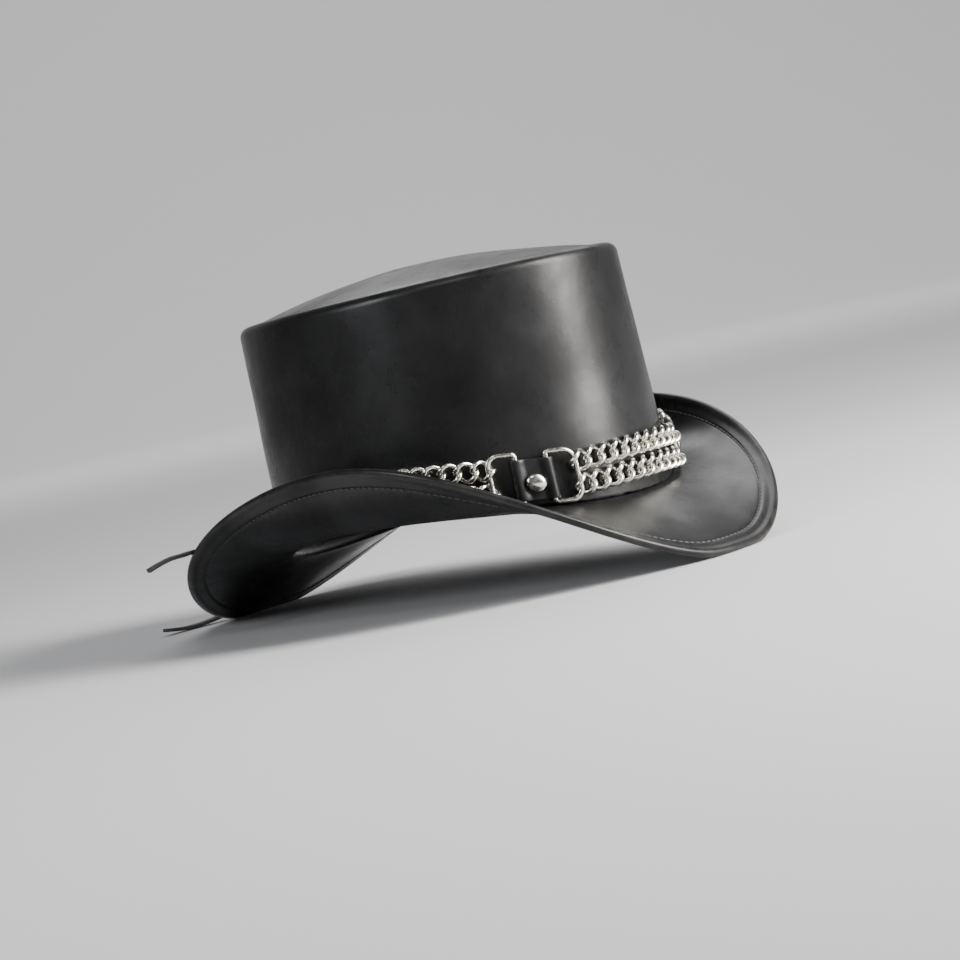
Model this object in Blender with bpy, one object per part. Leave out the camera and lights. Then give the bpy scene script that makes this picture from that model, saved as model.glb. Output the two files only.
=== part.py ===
"""A leather top hat with a curled brim and a hat band of riveted tabs, D-rings and chain.

The hat is built in its own frame, the crown's axis upright and the crown's base at z = 0,
and every piece is a child of one empty that sets the hat down on the front and the rear
of its brim. Angles go round the hat: 0 is the front (-Y), 90 the wearer's right (-X),
180 the rear. Lengths are in metres and angles in degrees.
"""
import math

import bmesh
import bpy
import numpy as np
from mathutils import Matrix, Vector

# Crown
BASE_LENGTH = 0.2060
BASE_WIDTH = 0.1724
TOP_LENGTH = 0.2018
TOP_WIDTH = 0.1670
CROWN_HEIGHT = 0.1102
BASE_RISE = 0.0064
CROWN_WALL = 0.0025
SHOULDER_RADIUS = 0.0050
GROOVE_INSET = 0.0062
SEAT_DROP = 0.0008
EDGE_DROP = 0.0006
LIP_WIDTH = 0.0100
DISC_WALL = 0.0024
DISC_ROUND = 0.0012
DOME_RISE = 0.0118

# Brim
BRIM_REACH = 0.0575
BRIM_LIFT = 0.0362
BRIM_WALL = 0.0024
BORDER_WIDTH = 0.0070
BORDER_WALL = 0.0034
BORDER_STEP = 0.0010
RIM_THICKNESS = 0.0042
COLLAR_HEIGHT = 0.0070
COLLAR_BEND = 0.0018
PRESS_DEPTH = 0.0012
PRESS_BLEND = 0.0016
FLAT_DEPTH = 0.0009
# The brim's edge, as shares of BRIM_REACH out from the crown and of BRIM_LIFT up from it
BRIM_EDGE = (
    # angle, reach, lift
    (0, 0.820, -0.93),
    (45, 0.766, 0.231),
    (90, 0.461, 0.793),
    (135, 0.804, 0.218),
    (180, 0.990, -0.700),
)
# Where a section's bend point lies, as shares of its own reach and lift
FRONT_BEND = (0.50, 0.44)
SIDE_BEND = (0.78, 0.18)
# Where the plain part of the brim has its outlines, as shares of its own width
BRIM_SHARES = (0.45, 0.80, 1.0)

# Hat band
BAND_HEIGHT = 0.0131
CHAIN_RISE = 0.0031
TAB_ANGLE = 37.4
TAB_WIDTH = 0.0194
TAB_HEIGHT = 0.0192
TAB_DROP = 0.0005
STRAP_WALL = 0.0013
STRAP_DIP = 0.0014
RING_WIRE = 0.0024
RING_HEIGHT = 0.0258
RING_DEPTH = 0.0123
RING_CORNER = 0.0052
BAR_CORNER = 0.0014
RING_TILT = 0.0016
CHAIN_DIP = 0.0018
LINK_WIRE = 0.0022
LINK_HEIGHT = 0.0106
LINK_PITCH = 0.0073
LINK_GRIP = 0.0018
LINK_TWIST = 54.0
END_LINK_LEAN = -16.0
END_LINK_TWIST = 70.0
STRAND_SPACING = 0.0111
SIDE_CHAIN_RADIUS = 0.0026
REAR_RING_ANGLE = 106.0
REAR_RING_RISE = 0.0014
RIVET_DIAMETER = 0.0087
RIVET_DOME = 0.0021
RIVET_SHANK = 0.0030
RIVET_DROP = 0.0021
RIVET_EDGE = 0.0003
WASHER_DIAMETER = 0.0074
WASHER_WALL = 0.0008

# Lace
LACE_WIDTH = 0.0060
LACE_THICKNESS = 0.0020
KNOT_LENGTH = 0.0150
KNOT_DEPTH = 0.0092
KNOT_HEIGHT = 0.0125
KNOT_FULLNESS = 0.45
KNOT_WAIST = 0.12
LOOP_LEAD = 0.0080

# The free ends of the lace, as they lie on the brim and past its edge
# angle, share of the way from the crown to the edge, height of the middle above the brim
RIGHT_LACE = (
    (177.5, 0.035, 0.0070),
    (176.2, 0.09, 0.0066),
    (174, 0.14, 0.0054),
    (170.5, 0.20, 0.0034),
    (165, 0.28, 0.0022),
    (158, 0.38, 0.0021),
    (151, 0.52, 0.0021),
    (145, 0.67, 0.0021),
    (140, 0.83, 0.0021),
    (137, 1.00, 0.0026),
    (135, 1.14, 0.0022),
    (134, 1.29, 0.0009),
    (133.5, 1.44, -0.0010),
    (133, 1.58, -0.0034),
)
LEFT_LACE = (
    (182.5, 0.035, 0.0070),
    (183.2, 0.09, 0.0066),
    (184, 0.15, 0.0052),
    (184.6, 0.22, 0.0030),
    (185, 0.31, 0.0017),
    (184, 0.42, 0.0016),
    (182, 0.56, 0.0016),
    (179.5, 0.70, 0.0016),
    (176.5, 0.85, 0.0016),
    (173.5, 1.00, 0.0018),
    (170.5, 1.13, 0.0004),
    (167.5, 1.25, -0.0030),
    (164.5, 1.37, -0.0060),
    (161.5, 1.49, -0.0060),
)

# Fits
GAP = 0.0003
CUTTER_REACH = 0.0120

# Facets
FACETS = 46
RIVET_FACETS = 10
WIRE_FACETS = 5
RING_FACETS = 5
LINK_FACETS = 10


def smooth_step(share):
    """0 to 1 with level ends."""
    share = np.clip(share, 0.0, 1.0)
    return share * share * (3 - 2 * share)


def oval(angle, half_length, half_width):
    """A point of an oval at this angle from the front, in radians."""
    return np.array([-half_width * math.sin(angle), -half_length * math.cos(angle)])


def heading(angle):
    """The direction from the middle of the hat to the base oval's point at this angle."""
    return math.atan2(BASE_WIDTH * math.sin(angle), BASE_LENGTH * math.cos(angle))


def base_level(angle):
    """Height of the crown's bottom edge, which is lower at the front and the rear."""
    return -BASE_RISE * math.cos(2 * angle)


def cosine_series(column):
    """The even, closed curve through one column of BRIM_EDGE, as its cosine terms."""
    rows = np.array(BRIM_EDGE)
    orders = np.arange(len(rows))
    waves = np.cos(np.radians(rows[:, :1]) * orders)
    return np.linalg.solve(waves, rows[:, column])


REACH_TERMS = cosine_series(1)
LIFT_TERMS = cosine_series(2)


def brim_edge(angle):
    """Reach and lift of the brim's edge at this angle, in metres."""
    waves = np.cos(np.arange(len(BRIM_EDGE)) * angle)
    return BRIM_REACH * float(REACH_TERMS @ waves), BRIM_LIFT * float(LIFT_TERMS @ waves)


def pressed(height, lowest):
    """A height of the brim's edge, raised where the hat's weight presses its lowest stretch flat."""
    floor = lowest + PRESS_DEPTH
    return 0.5 * (height + floor + math.hypot(height - floor, PRESS_BLEND))


def brim_line(angle, steps=24):
    """The middle of the brim's wall from the crown to the edge, as (reach, height) points."""
    reach, lift = brim_edge(heading(angle))
    end_angle = 0.0 if math.cos(angle) > 0 else math.pi
    lowest = base_level(end_angle) + brim_edge(end_angle)[1]
    lift = pressed(base_level(angle) + lift, lowest) - base_level(angle)
    side = (1 - math.cos(2 * angle)) / 2
    bend_reach, bend_lift = [f + (s - f) * side for f, s in zip(FRONT_BEND, SIDE_BEND)]
    start = np.array([0.0, base_level(angle) - GAP - BRIM_WALL / 2])
    middle = start + np.array([reach * bend_reach, lift * bend_lift])
    end = start + np.array([reach - RIM_THICKNESS / 2, lift])
    share = np.linspace(0, 1, steps)[:, None]
    return start * (1 - share) ** 2 + 2 * middle * share * (1 - share) + end * share**2


def at_lengths(line, lengths):
    """Points and normals of a polyline at these distances from its end."""
    run = np.concatenate([[0], np.cumsum(np.linalg.norm(np.diff(line, axis=0), axis=1))])
    wanted = run[-1] - np.array(lengths)
    points = np.stack([np.interp(wanted, run, line[:, k]) for k in (0, 1)], 1)
    along = np.gradient(line, run, axis=0)
    slopes = np.stack([np.interp(wanted, run, along[:, k]) for k in (0, 1)], 1)
    slopes /= np.linalg.norm(slopes, axis=1)[:, None]
    return points, np.stack([-slopes[:, 1], slopes[:, 0]], 1), run[-1]


def brim_section(angle):
    """The closed outline of the brim at one angle, as (reach, height) points."""
    line = brim_line(angle)
    _, _, total = at_lengths(line, [0])
    lengths = [BORDER_STEP, BORDER_WIDTH, BORDER_WIDTH + BORDER_STEP]
    lengths += [BORDER_WIDTH + (total - BORDER_WIDTH) * share for share in BRIM_SHARES]
    halves = [RIM_THICKNESS / 2, BORDER_WALL / 2] + [BRIM_WALL / 2] * 4
    points, normals, _ = at_lengths(line, lengths)
    upper = points + normals * np.array(halves)[:, None]
    lower = points - normals * np.array(halves)[:, None]
    tip, normal, _ = at_lengths(line, [0])
    outward = np.array([normal[0, 1], -normal[0, 0]])
    rim = [
        tip[0] + RIM_THICKNESS / 2 * (math.sin(turn) * normal[0] + math.cos(turn) * outward)
        for turn in np.radians((48, 0, -48))
    ]
    level = base_level(angle) - GAP
    foot = lower[-1, 1]
    outer = -CROWN_WALL - GAP
    inner = outer - BRIM_WALL
    collar = [
        (outer, level),
        (outer, level + COLLAR_HEIGHT),
        (inner, level + COLLAR_HEIGHT),
        (inner, foot + COLLAR_BEND),
        (inner + COLLAR_BEND, foot),
    ]
    return np.vstack([lower[::-1], rim[::-1], upper, collar])


def brim_place(angle, reach):
    """The plan position this far out from the crown's base, or inside it where reach is negative."""
    if reach < 0:
        return oval(angle, BASE_LENGTH / 2 + reach, BASE_WIDTH / 2 + reach)
    toward = heading(angle)
    away = np.array([-math.sin(toward), -math.cos(toward)])
    return oval(angle, BASE_LENGTH / 2, BASE_WIDTH / 2) + away * reach


FACET_ANGLES = (np.arange(FACETS) + 0.5) * 2 * math.pi / FACETS


def brim_vertices():
    """Rows of brim vertices in the hat's own frame, one closed outline for each angle."""
    return np.array(
        [
            [(*brim_place(angle, reach), height) for reach, height in brim_section(angle)]
            for angle in FACET_ANGLES
        ]
    )


def rest_matrix():
    """Sets the hat down on its brim, with the middle of its outline over the origin."""
    points = brim_vertices().reshape(-1, 3)
    front = points[points[:, 1] < 0]
    rear = points[points[:, 1] > 0]
    low_front = front[front[:, 2].argmin()]
    low_rear = rear[rear[:, 2].argmin()]
    tilt = math.atan2(low_rear[2] - low_front[2], low_rear[1] - low_front[1])
    turn = Matrix.Rotation(-tilt, 4, "X")
    turned = np.array([turn @ Vector(p) for p in points])
    middle = (turned[:, 1].min() + turned[:, 1].max()) / 2
    return Matrix.Translation((0, -middle, -turned[:, 2].min() - FLAT_DEPTH)) @ turn


REST = rest_matrix()


def flattened(points):
    """Points that would be under the floor at rest, pressed up to it."""
    back = REST.inverted()
    pressed = []
    for point in points:
        world = REST @ Vector(point)
        world.z = max(world.z, 0.0)
        pressed.append(tuple(back @ world))
    return pressed


def brim_point(toward, way, lift):
    """A point over the brim, or past its edge, for the lace to run through."""
    angle = math.atan2(BASE_LENGTH * math.sin(toward), BASE_WIDTH * math.cos(toward))
    line = brim_line(angle)
    _, _, total = at_lengths(line, [0])
    point, normal, _ = at_lengths(line, [total * (1 - min(way, 1.0))])
    if way <= 1:
        half = np.interp(way * total, (total - BORDER_WIDTH, total), (BRIM_WALL / 2, RIM_THICKNESS / 2))
        reach, height = point[0] + normal[0] * (half + lift)
    else:
        reach, height = point[0] + np.array([(way - 1) * total, lift])
    world = REST @ Vector((*brim_place(angle, reach), height))
    world.z = max(world.z, LACE_THICKNESS / 2 + GAP)
    return REST.inverted() @ world


def band_sizes():
    """Half length and half width of the crown's outside at the hat band."""
    share = BAND_HEIGHT / CROWN_HEIGHT
    return (
        (BASE_LENGTH + (TOP_LENGTH - BASE_LENGTH) * share) / 2,
        (BASE_WIDTH + (TOP_WIDTH - BASE_WIDTH) * share) / 2,
    )


BAND_ANGLES = np.linspace(-math.pi, math.pi, 1441)
BAND_LINE = np.array([oval(a, *band_sizes()) for a in BAND_ANGLES])
BAND_RUN = np.concatenate([[0], np.cumsum(np.linalg.norm(np.diff(BAND_LINE, axis=0), axis=1))])
BAND_RUN -= np.interp(0, BAND_ANGLES, BAND_RUN)
CROWN_LEAN = (BASE_LENGTH - TOP_LENGTH) / 2 / CROWN_HEIGHT


def run_at(angle):
    """Distance round the band from the front to this angle in degrees."""
    return float(np.interp(math.radians(angle), BAND_ANGLES, BAND_RUN))


def bend(flat):
    """Wraps flat points (round, out, up) about the crown, up from the middle of the band."""
    half = run_at(180)
    points = []
    for run, out, up in flat:
        angle = np.interp((run + half) % (2 * half) - half, BAND_RUN, BAND_ANGLES)
        half_length, half_width = band_sizes()
        place = oval(angle, half_length, half_width)
        away = np.array([place[0] / half_width**2, place[1] / half_length**2])
        away /= np.linalg.norm(away)
        place = place + away * (out - up * CROWN_LEAN)
        points.append((place[0], place[1], base_level(angle) + BAND_HEIGHT + up))
    return points


def material(name, colour, roughness, metallic):
    """A Principled material with one colour."""
    made = bpy.data.materials.new(name)
    made.use_nodes = True
    shader = made.node_tree.nodes["Principled BSDF"]
    shader.inputs["Base Color"].default_value = (*colour, 1.0)
    shader.inputs["Roughness"].default_value = roughness
    shader.inputs["Metallic"].default_value = metallic
    return made


def add_object(name, vertices, faces, finish, smooth=True):
    """A mesh object on the rest empty, with its faces turned outwards."""
    mesh = bpy.data.meshes.new(name)
    mesh.from_pydata([tuple(v) for v in vertices], [], faces)
    shape = bmesh.new()
    shape.from_mesh(mesh)
    bmesh.ops.recalc_face_normals(shape, faces=shape.faces)
    shape.to_mesh(mesh)
    shape.free()
    if smooth:
        mesh.shade_smooth()
        mesh.set_sharp_from_angle(angle=math.radians(40))
    mesh.materials.append(finish)
    made = bpy.data.objects.new(name, mesh)
    bpy.context.scene.collection.objects.link(made)
    made.parent = bpy.data.objects["rest_pose"]
    return made


def loft_faces(rows, columns, close_rows=True, close_columns=True):
    """Quads of a grid of vertices that closes on itself along either way."""
    faces = []
    for row in range(rows if close_rows else rows - 1):
        for column in range(columns if close_columns else columns - 1):
            after_row = (row + 1) % rows
            after = (column + 1) % columns
            faces.append(
                (
                    row * columns + column,
                    after_row * columns + column,
                    after_row * columns + after,
                    row * columns + after,
                )
            )
    return faces


def add_turned(name, profile, finish, pole=False):
    """An oval piece from a function that gives its (half length, half width, height) at each angle."""
    rows = []
    for angle in FACET_ANGLES:
        for half_length, half_width, height in profile(angle):
            place = oval(angle, half_length, half_width)
            rows.append((place[0], place[1], height))
    columns = len(profile(0.0))
    faces = loft_faces(FACETS, columns, close_columns=not pole)
    if pole:
        for column, top in ((0, True), (columns - 1, False)):
            ring = [row * columns + column for row in range(FACETS)]
            middle = np.mean([rows[i] for i in ring], axis=0)
            middle[2] = pole[0] if top else pole[1]
            rows.append(tuple(middle))
            last = len(rows) - 1
            faces += [(ring[i], ring[(i + 1) % FACETS], last) for i in range(FACETS)]
    return add_object(name, rows, faces, finish)


def crown_profile(angle):
    """The crown's wall, its rounded shoulder, the groove, and the lip under the top."""
    low = base_level(angle)
    length, width = TOP_LENGTH / 2, TOP_WIDTH / 2
    inner_radius = SHOULDER_RADIUS - CROWN_WALL
    top = CROWN_HEIGHT
    outside = [(BASE_LENGTH / 2, BASE_WIDTH / 2, low)]
    middle = (low + top - SHOULDER_RADIUS) / 2
    share = middle / CROWN_HEIGHT
    outside.append(
        (
            BASE_LENGTH / 2 + (length - BASE_LENGTH / 2) * share,
            BASE_WIDTH / 2 + (width - BASE_WIDTH / 2) * share,
            middle,
        )
    )
    for turn in np.radians((0, 35, 68, 90)):
        inset = SHOULDER_RADIUS * (1 - math.cos(turn))
        outside.append((length - inset, width - inset, top - SHOULDER_RADIUS * (1 - math.sin(turn))))
    lip_top = top - DISC_WALL - GAP - SEAT_DROP
    inset = GROOVE_INSET
    outside.append((length - inset, width - inset, top - EDGE_DROP))
    outside.append((length - inset, width - inset, lip_top))
    inset = GROOVE_INSET + LIP_WIDTH
    outside.append((length - inset, width - inset, lip_top))
    outside.append((length - inset, width - inset, lip_top - CROWN_WALL))
    inset = CROWN_WALL + inner_radius
    outside.append((length - inset, width - inset, lip_top - CROWN_WALL))
    outside.append((length - CROWN_WALL, width - CROWN_WALL, lip_top - CROWN_WALL - inner_radius))
    outside.append((BASE_LENGTH / 2 - CROWN_WALL, BASE_WIDTH / 2 - CROWN_WALL, low))
    return outside


def disc_profile(angle):
    """The domed top: its upper face from the middle out, its edge, and back underneath."""
    inset = GROOVE_INSET + GAP
    length, width = TOP_LENGTH / 2 - inset, TOP_WIDTH / 2 - inset
    seat = CROWN_HEIGHT - DISC_WALL - SEAT_DROP
    rows = [
        (length * share, width * share, seat + DISC_WALL + DOME_RISE * (1 - share**2))
        for share in (0.30, 0.60, 0.84)
    ]
    rows.append((length - DISC_ROUND, width - DISC_ROUND, seat + DISC_WALL))
    rows.append((length, width, seat + DISC_WALL / 2))
    rows.append((length, width, seat))
    inner = LIP_WIDTH - DISC_ROUND
    rows.append((length - inner, width - inner, seat))
    rows += [
        (length * share, width * share, seat + DOME_RISE * (1 - share**2))
        for share in (0.60, 0.30)
    ]
    return rows


def build_leather(leather):
    """Crown, top and brim."""
    add_turned("crown", crown_profile, leather)
    seat = CROWN_HEIGHT - DISC_WALL - SEAT_DROP
    add_turned("crown_top", disc_profile, leather, (seat + DISC_WALL + DOME_RISE, seat + DOME_RISE))
    rows = brim_vertices()
    faces = loft_faces(rows.shape[0], rows.shape[1])
    add_object("brim", flattened(rows.reshape(-1, 3)), faces, leather)


def swept(path, radius, sides, closed=True):
    """Vertices and faces of a round wire along a flat path of (round, out, up) points."""
    path = np.array(path)
    if closed:
        along = np.roll(path, -1, axis=0) - np.roll(path, 1, axis=0)
    else:
        along = np.gradient(path, axis=0)
    along /= np.linalg.norm(along, axis=1)[:, None]
    side = np.cross(along, (0.0, 1.0, 0.0))
    side /= np.linalg.norm(side, axis=1)[:, None]
    face = np.cross(side, along)
    turns = np.arange(sides) * 2 * math.pi / sides
    rings = [
        path[i] + radius * (math.cos(t) * side[i] + math.sin(t) * face[i])
        for i in range(len(path))
        for t in turns
    ]
    return rings, loft_faces(len(path), sides, close_rows=closed)


def ring_path(middle, away, rise=0.0):
    """A D-ring's path: its straight bar at middle, its round end RING_DEPTH further, towards away."""
    half = RING_HEIGHT / 2 - RING_WIRE / 2
    small = BAR_CORNER
    path = []
    for centre, corner, first, step in (
        ((RING_DEPTH - RING_CORNER, half - RING_CORNER), RING_CORNER, 90, 30),
        ((RING_DEPTH - RING_CORNER, -half + RING_CORNER), RING_CORNER, 0, 30),
        ((small, -half + small), small, -90, 45),
        ((small, half - small), small, -180, 45),
    ):
        for turn in np.radians(np.arange(first, first - 91, -step)):
            depth = centre[0] + corner * math.cos(turn)
            up = rise + centre[1] + corner * math.sin(turn)
            out = bar_out() + RING_TILT * depth / RING_DEPTH
            path.append((middle + away * depth, out, up))
    return path


def bar_out():
    """How far a D-ring's bar stands from the crown."""
    return GAP + STRAP_WALL + GAP + RING_WIRE / 2


def strap_ring(outline, height, drop=0.0):
    """A closed strap: its middle line in (round, out), made STRAP_WALL thick and height tall."""
    line = np.array(outline)
    along = np.roll(line, -1, axis=0) - np.roll(line, 1, axis=0)
    along /= np.linalg.norm(along, axis=1)[:, None]
    side = np.stack([along[:, 1], -along[:, 0]], 1) * STRAP_WALL / 2
    corners = []
    for middle, off in zip(line, side):
        for sign, up in ((1, -1), (1, 1), (-1, 1), (-1, -1)):
            place = middle + sign * off
            corners.append((place[0], place[1], up * height / 2 - drop))
    return corners, loft_faces(len(line), 4)


def tab_dip(share):
    """How far the tab's outer layer lies in from the bulges over its bars, -1 to 1 across."""
    return STRAP_DIP * smooth_step((1 - abs(share)) / 0.6)


def tab_outline(middle):
    """The tab's strap, folded round the bars of its two D-rings."""
    bar = TAB_WIDTH / 2 - STRAP_WALL - GAP - RING_WIRE / 2
    radius = RING_WIRE / 2 + GAP + STRAP_WALL / 2
    back = bar_out() - radius
    front = bar_out() + radius
    outline = [(middle + share * bar, back) for share in (-0.4, 0.4)]
    for turn in np.radians((-90, -45, 0, 45, 90)):
        outline.append((middle + bar + radius * math.cos(turn), bar_out() + radius * math.sin(turn)))
    for share in (0.6, 0.2, -0.2, -0.6):
        outline.append((middle + share * bar, front - tab_dip(share)))
    for turn in np.radians((90, 135, 180, 225, 270)):
        outline.append((middle - bar + radius * math.cos(turn), bar_out() + radius * math.sin(turn)))
    return outline, bar


def shank_cutter(name, middle):
    """A guide that cuts the hole for a rivet's shank."""
    sides = RIVET_FACETS
    radius = RIVET_SHANK / 2 + GAP
    flat = [
        (middle + radius * math.cos(t), out, radius * math.sin(t) - RIVET_DROP)
        for out in (-CUTTER_REACH, CUTTER_REACH)
        for t in np.arange(sides) * 2 * math.pi / sides
    ]
    faces = loft_faces(2, sides, close_rows=False)
    faces += [tuple(range(sides)), tuple(range(sides, 2 * sides))]
    cutter = add_object(name, bend(flat), faces, bpy.data.materials["blackened_leather"])
    cutter.hide_render = True
    cutter.display_type = "WIRE"
    return cutter


def cut(target, cutter):
    """Takes the cutter's shape out of the target."""
    modifier = target.modifiers.new("hole for " + cutter.name, "BOOLEAN")
    modifier.operation = "DIFFERENCE"
    modifier.solver = "EXACT"
    modifier.object = cutter


def build_tab(side, sign, leather, steel):
    """One tab, its rivet and its two D-rings, on the wearer's right where sign is 1."""
    middle = sign * run_at(TAB_ANGLE)
    outline, bar = tab_outline(middle)
    corners, faces = strap_ring(outline, TAB_HEIGHT, TAB_DROP)
    tab = add_object(side + "_tab", bend(corners), faces, leather)
    cutter = shank_cutter(side + "_shank_hole", middle)
    cut(tab, cutter)
    cut(bpy.data.objects["crown"], cutter)
    dip = tab_dip(RIVET_DIAMETER / 2 / bar)
    front = bar_out() + RING_WIRE / 2 + GAP + STRAP_WALL - dip + GAP
    profile = [(RIVET_DIAMETER / 2 * math.cos(t), front + RIVET_EDGE + RIVET_DOME * math.sin(t))
               for t in np.radians((62, 32, 0))]
    profile += [(RIVET_DIAMETER / 2 - RIVET_EDGE, front), (RIVET_SHANK / 2, front)]
    inside = -CROWN_WALL - GAP
    profile += [(RIVET_SHANK / 2, inside), (WASHER_DIAMETER / 2, inside)]
    profile += [(WASHER_DIAMETER / 2, inside - WASHER_WALL)]
    sides = RIVET_FACETS
    flat = [
        (middle + radius * math.cos(t), out, radius * math.sin(t) - RIVET_DROP)
        for radius, out in profile
        for t in np.arange(sides) * 2 * math.pi / sides
    ]
    faces = loft_faces(len(profile), sides, close_rows=False)
    last = (len(profile) - 1) * sides
    faces += [tuple(range(sides)), tuple(range(last, last + sides))]
    add_object(side + "_rivet", bend(flat), faces, steel)
    for place, away in (("front", -sign), ("side", sign)):
        path = ring_path(middle + away * bar, away)
        vertices, faces = swept(path, RING_WIRE / 2, RING_FACETS)
        add_object(side + "_" + place + "_ring", bend(vertices), faces, steel)
    return abs(middle) + bar + RING_DEPTH, abs(middle) - bar - RING_DEPTH


def strand_place(run, start, end, up, rise):
    """Where the middle of a strand runs between two D-rings, as (out, up)."""
    share = (2 * run - start - end) / (end - start)
    out = bar_out() + RING_TILT - CHAIN_DIP * (1 - min(share**2, 1.0)) ** 2
    return out, up + rise * (1 - share**2)


def link_path(middle, half_length, strand, lean, twist):
    """One link: an oval of wire, leaning about its strand's line and twisted along it."""
    half_height = (LINK_HEIGHT - LINK_WIRE) / 2
    path = []
    for turn in np.arange(LINK_FACETS) * 2 * math.pi / LINK_FACETS:
        angle = math.radians(lean + twist * math.cos(turn))
        rise = half_height * math.sin(turn)
        run = middle + half_length * math.cos(turn)
        out, up = strand_place(run, *strand)
        path.append((run, out + rise * math.sin(angle), up + rise * math.cos(angle)))
    return path


def strand_links(start, end, up, rise):
    """The paths of a strand's links between two D-rings, from bar to bar."""
    grip = LINK_WIRE / 2 + RING_WIRE / 2 + GAP
    span = end - start + 2 * grip - LINK_GRIP
    count = round(span / LINK_PITCH)
    pitch = span / count
    half_length = (pitch + LINK_GRIP) / 2
    first = start - grip + half_length
    links = []
    for i in range(count):
        lean, twist = (0, LINK_TWIST)
        if i == 0:
            lean, twist = (END_LINK_LEAN, END_LINK_TWIST)
        if i == count - 1:
            lean, twist = (-END_LINK_LEAN, END_LINK_TWIST)
        strand = (start, end, up, rise)
        links.append(link_path(first + i * pitch, half_length, strand, lean, twist))
    return links


def add_links(name, links, finish):
    """One mesh object that holds these separate links."""
    vertices, faces = [], []
    for path in links:
        ring, quads = swept(path, LINK_WIRE / 2, WIRE_FACETS)
        start = len(vertices)
        vertices += ring
        faces += [tuple(i + start for i in quad) for quad in quads]
    return add_object(name, bend(vertices), faces, finish)


def build_strand(name, start, end, up, rise, steel):
    """A strand of interlocked links, fused into one body."""
    links = strand_links(start, end, up, rise)
    strand = add_links(name, links[0::2], steel)
    other = add_links(name + "_every_other_link", links[1::2], steel)
    other.hide_render = True
    other.display_type = "WIRE"
    union = strand.modifiers.new("fused links", "BOOLEAN")
    union.operation = "UNION"
    union.solver = "EXACT"
    union.object = other


def add_tube(name, points, radius, resolution, finish):
    """A round tube along points, as a curve with a bevel and filled ends."""
    curve = bpy.data.curves.new(name, "CURVE")
    curve.dimensions = "3D"
    curve.bevel_depth = radius
    curve.bevel_resolution = resolution
    curve.use_fill_caps = True
    spline = curve.splines.new("POLY")
    spline.points.add(len(points) - 1)
    for point, place in zip(spline.points, points):
        point.co = (*place, 1.0)
    curve.materials.append(finish)
    made = bpy.data.objects.new(name, curve)
    bpy.context.scene.collection.objects.link(made)
    made.parent = bpy.data.objects["rest_pose"]


def build_band(leather, steel):
    """Tabs, D-rings and chains, the same on both sides."""
    for side, sign in (("right", 1), ("left", -1)):
        side_start, front_end = build_tab(side, sign, leather, steel)
        rear_bar = run_at(REAR_RING_ANGLE) + RING_DEPTH
        path = ring_path(sign * rear_bar, -sign, REAR_RING_RISE)
        vertices, faces = swept(path, RING_WIRE / 2, RING_FACETS)
        add_object(side + "_rear_ring", bend(vertices), faces, steel)
        ends = sorted((sign * side_start, sign * (rear_bar - RING_DEPTH)))
        clear = RING_WIRE / 2 + GAP
        runs = np.linspace(ends[0] + clear, ends[1] - clear, 12)
        for level, up in (("upper", STRAND_SPACING / 2), ("lower", -STRAND_SPACING / 2)):
            flat = [(run, *strand_place(run, *ends, up, 0.0)) for run in runs]
            add_tube(side + "_" + level + "_chain", bend(flat), SIDE_CHAIN_RADIUS, 2, steel)
        build_lace_loop(side, sign, rear_bar, leather)
    build_strand("front_upper_chain", -front_end, front_end, STRAND_SPACING / 2, CHAIN_RISE, steel)
    build_strand("front_lower_chain", -front_end, front_end, -STRAND_SPACING / 2, CHAIN_RISE, steel)


def build_lace_loop(side, sign, rear_bar, leather):
    """The lace from a rear D-ring's bar, round which it folds, to the knot."""
    radius = RING_WIRE / 2 + GAP + STRAP_WALL / 2
    inner = GAP + STRAP_WALL / 2
    outer = inner + STRAP_WALL + GAP
    knot = run_at(180) - KNOT_LENGTH / 2 - GAP - STRAP_WALL
    runs = np.linspace(rear_bar + LOOP_LEAD, knot, 9)
    outline = [(rear_bar, bar_out() - radius)] + [(run, inner) for run in runs]
    outline += [(knot + (outer - inner) / 2, (inner + outer) / 2)]
    outline += [(run, outer) for run in runs[::-1]]
    for turn in np.radians((90, 135, 180, 225)):
        outline.append((rear_bar + radius * math.cos(turn), bar_out() + radius * math.sin(turn)))
    if sign < 0:
        outline = [(-run, out) for run, out in outline][::-1]
    corners, faces = strap_ring(outline, LACE_WIDTH)
    add_object(side + "_lace_loop", bend(corners), faces, leather)


def build_knot(leather):
    """The knot at the rear, a rounded lump with a waist where its wrap pulls tight."""
    rings, sides = 8, 12
    middle = run_at(180)
    flat = []
    for i in range(1, rings):
        turn = math.pi * i / rings
        along = -math.cos(turn)
        size = math.sin(turn) ** KNOT_FULLNESS * (1 - KNOT_WAIST * math.cos(along * 2 * math.pi))
        size /= 1 + KNOT_WAIST
        for t in np.arange(sides) * 2 * math.pi / sides:
            out = GAP + KNOT_DEPTH / 2 + size * KNOT_DEPTH / 2 * math.cos(t)
            up = size * KNOT_HEIGHT / 2 * math.sin(t)
            flat.append((middle + along * KNOT_LENGTH / 2, out, up))
    faces = loft_faces(rings - 1, sides, close_rows=False)
    last = (rings - 2) * sides
    faces += [tuple(range(sides)), tuple(range(last, last + sides))]
    add_object("lace_knot", bend(flat), faces, leather)


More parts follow.
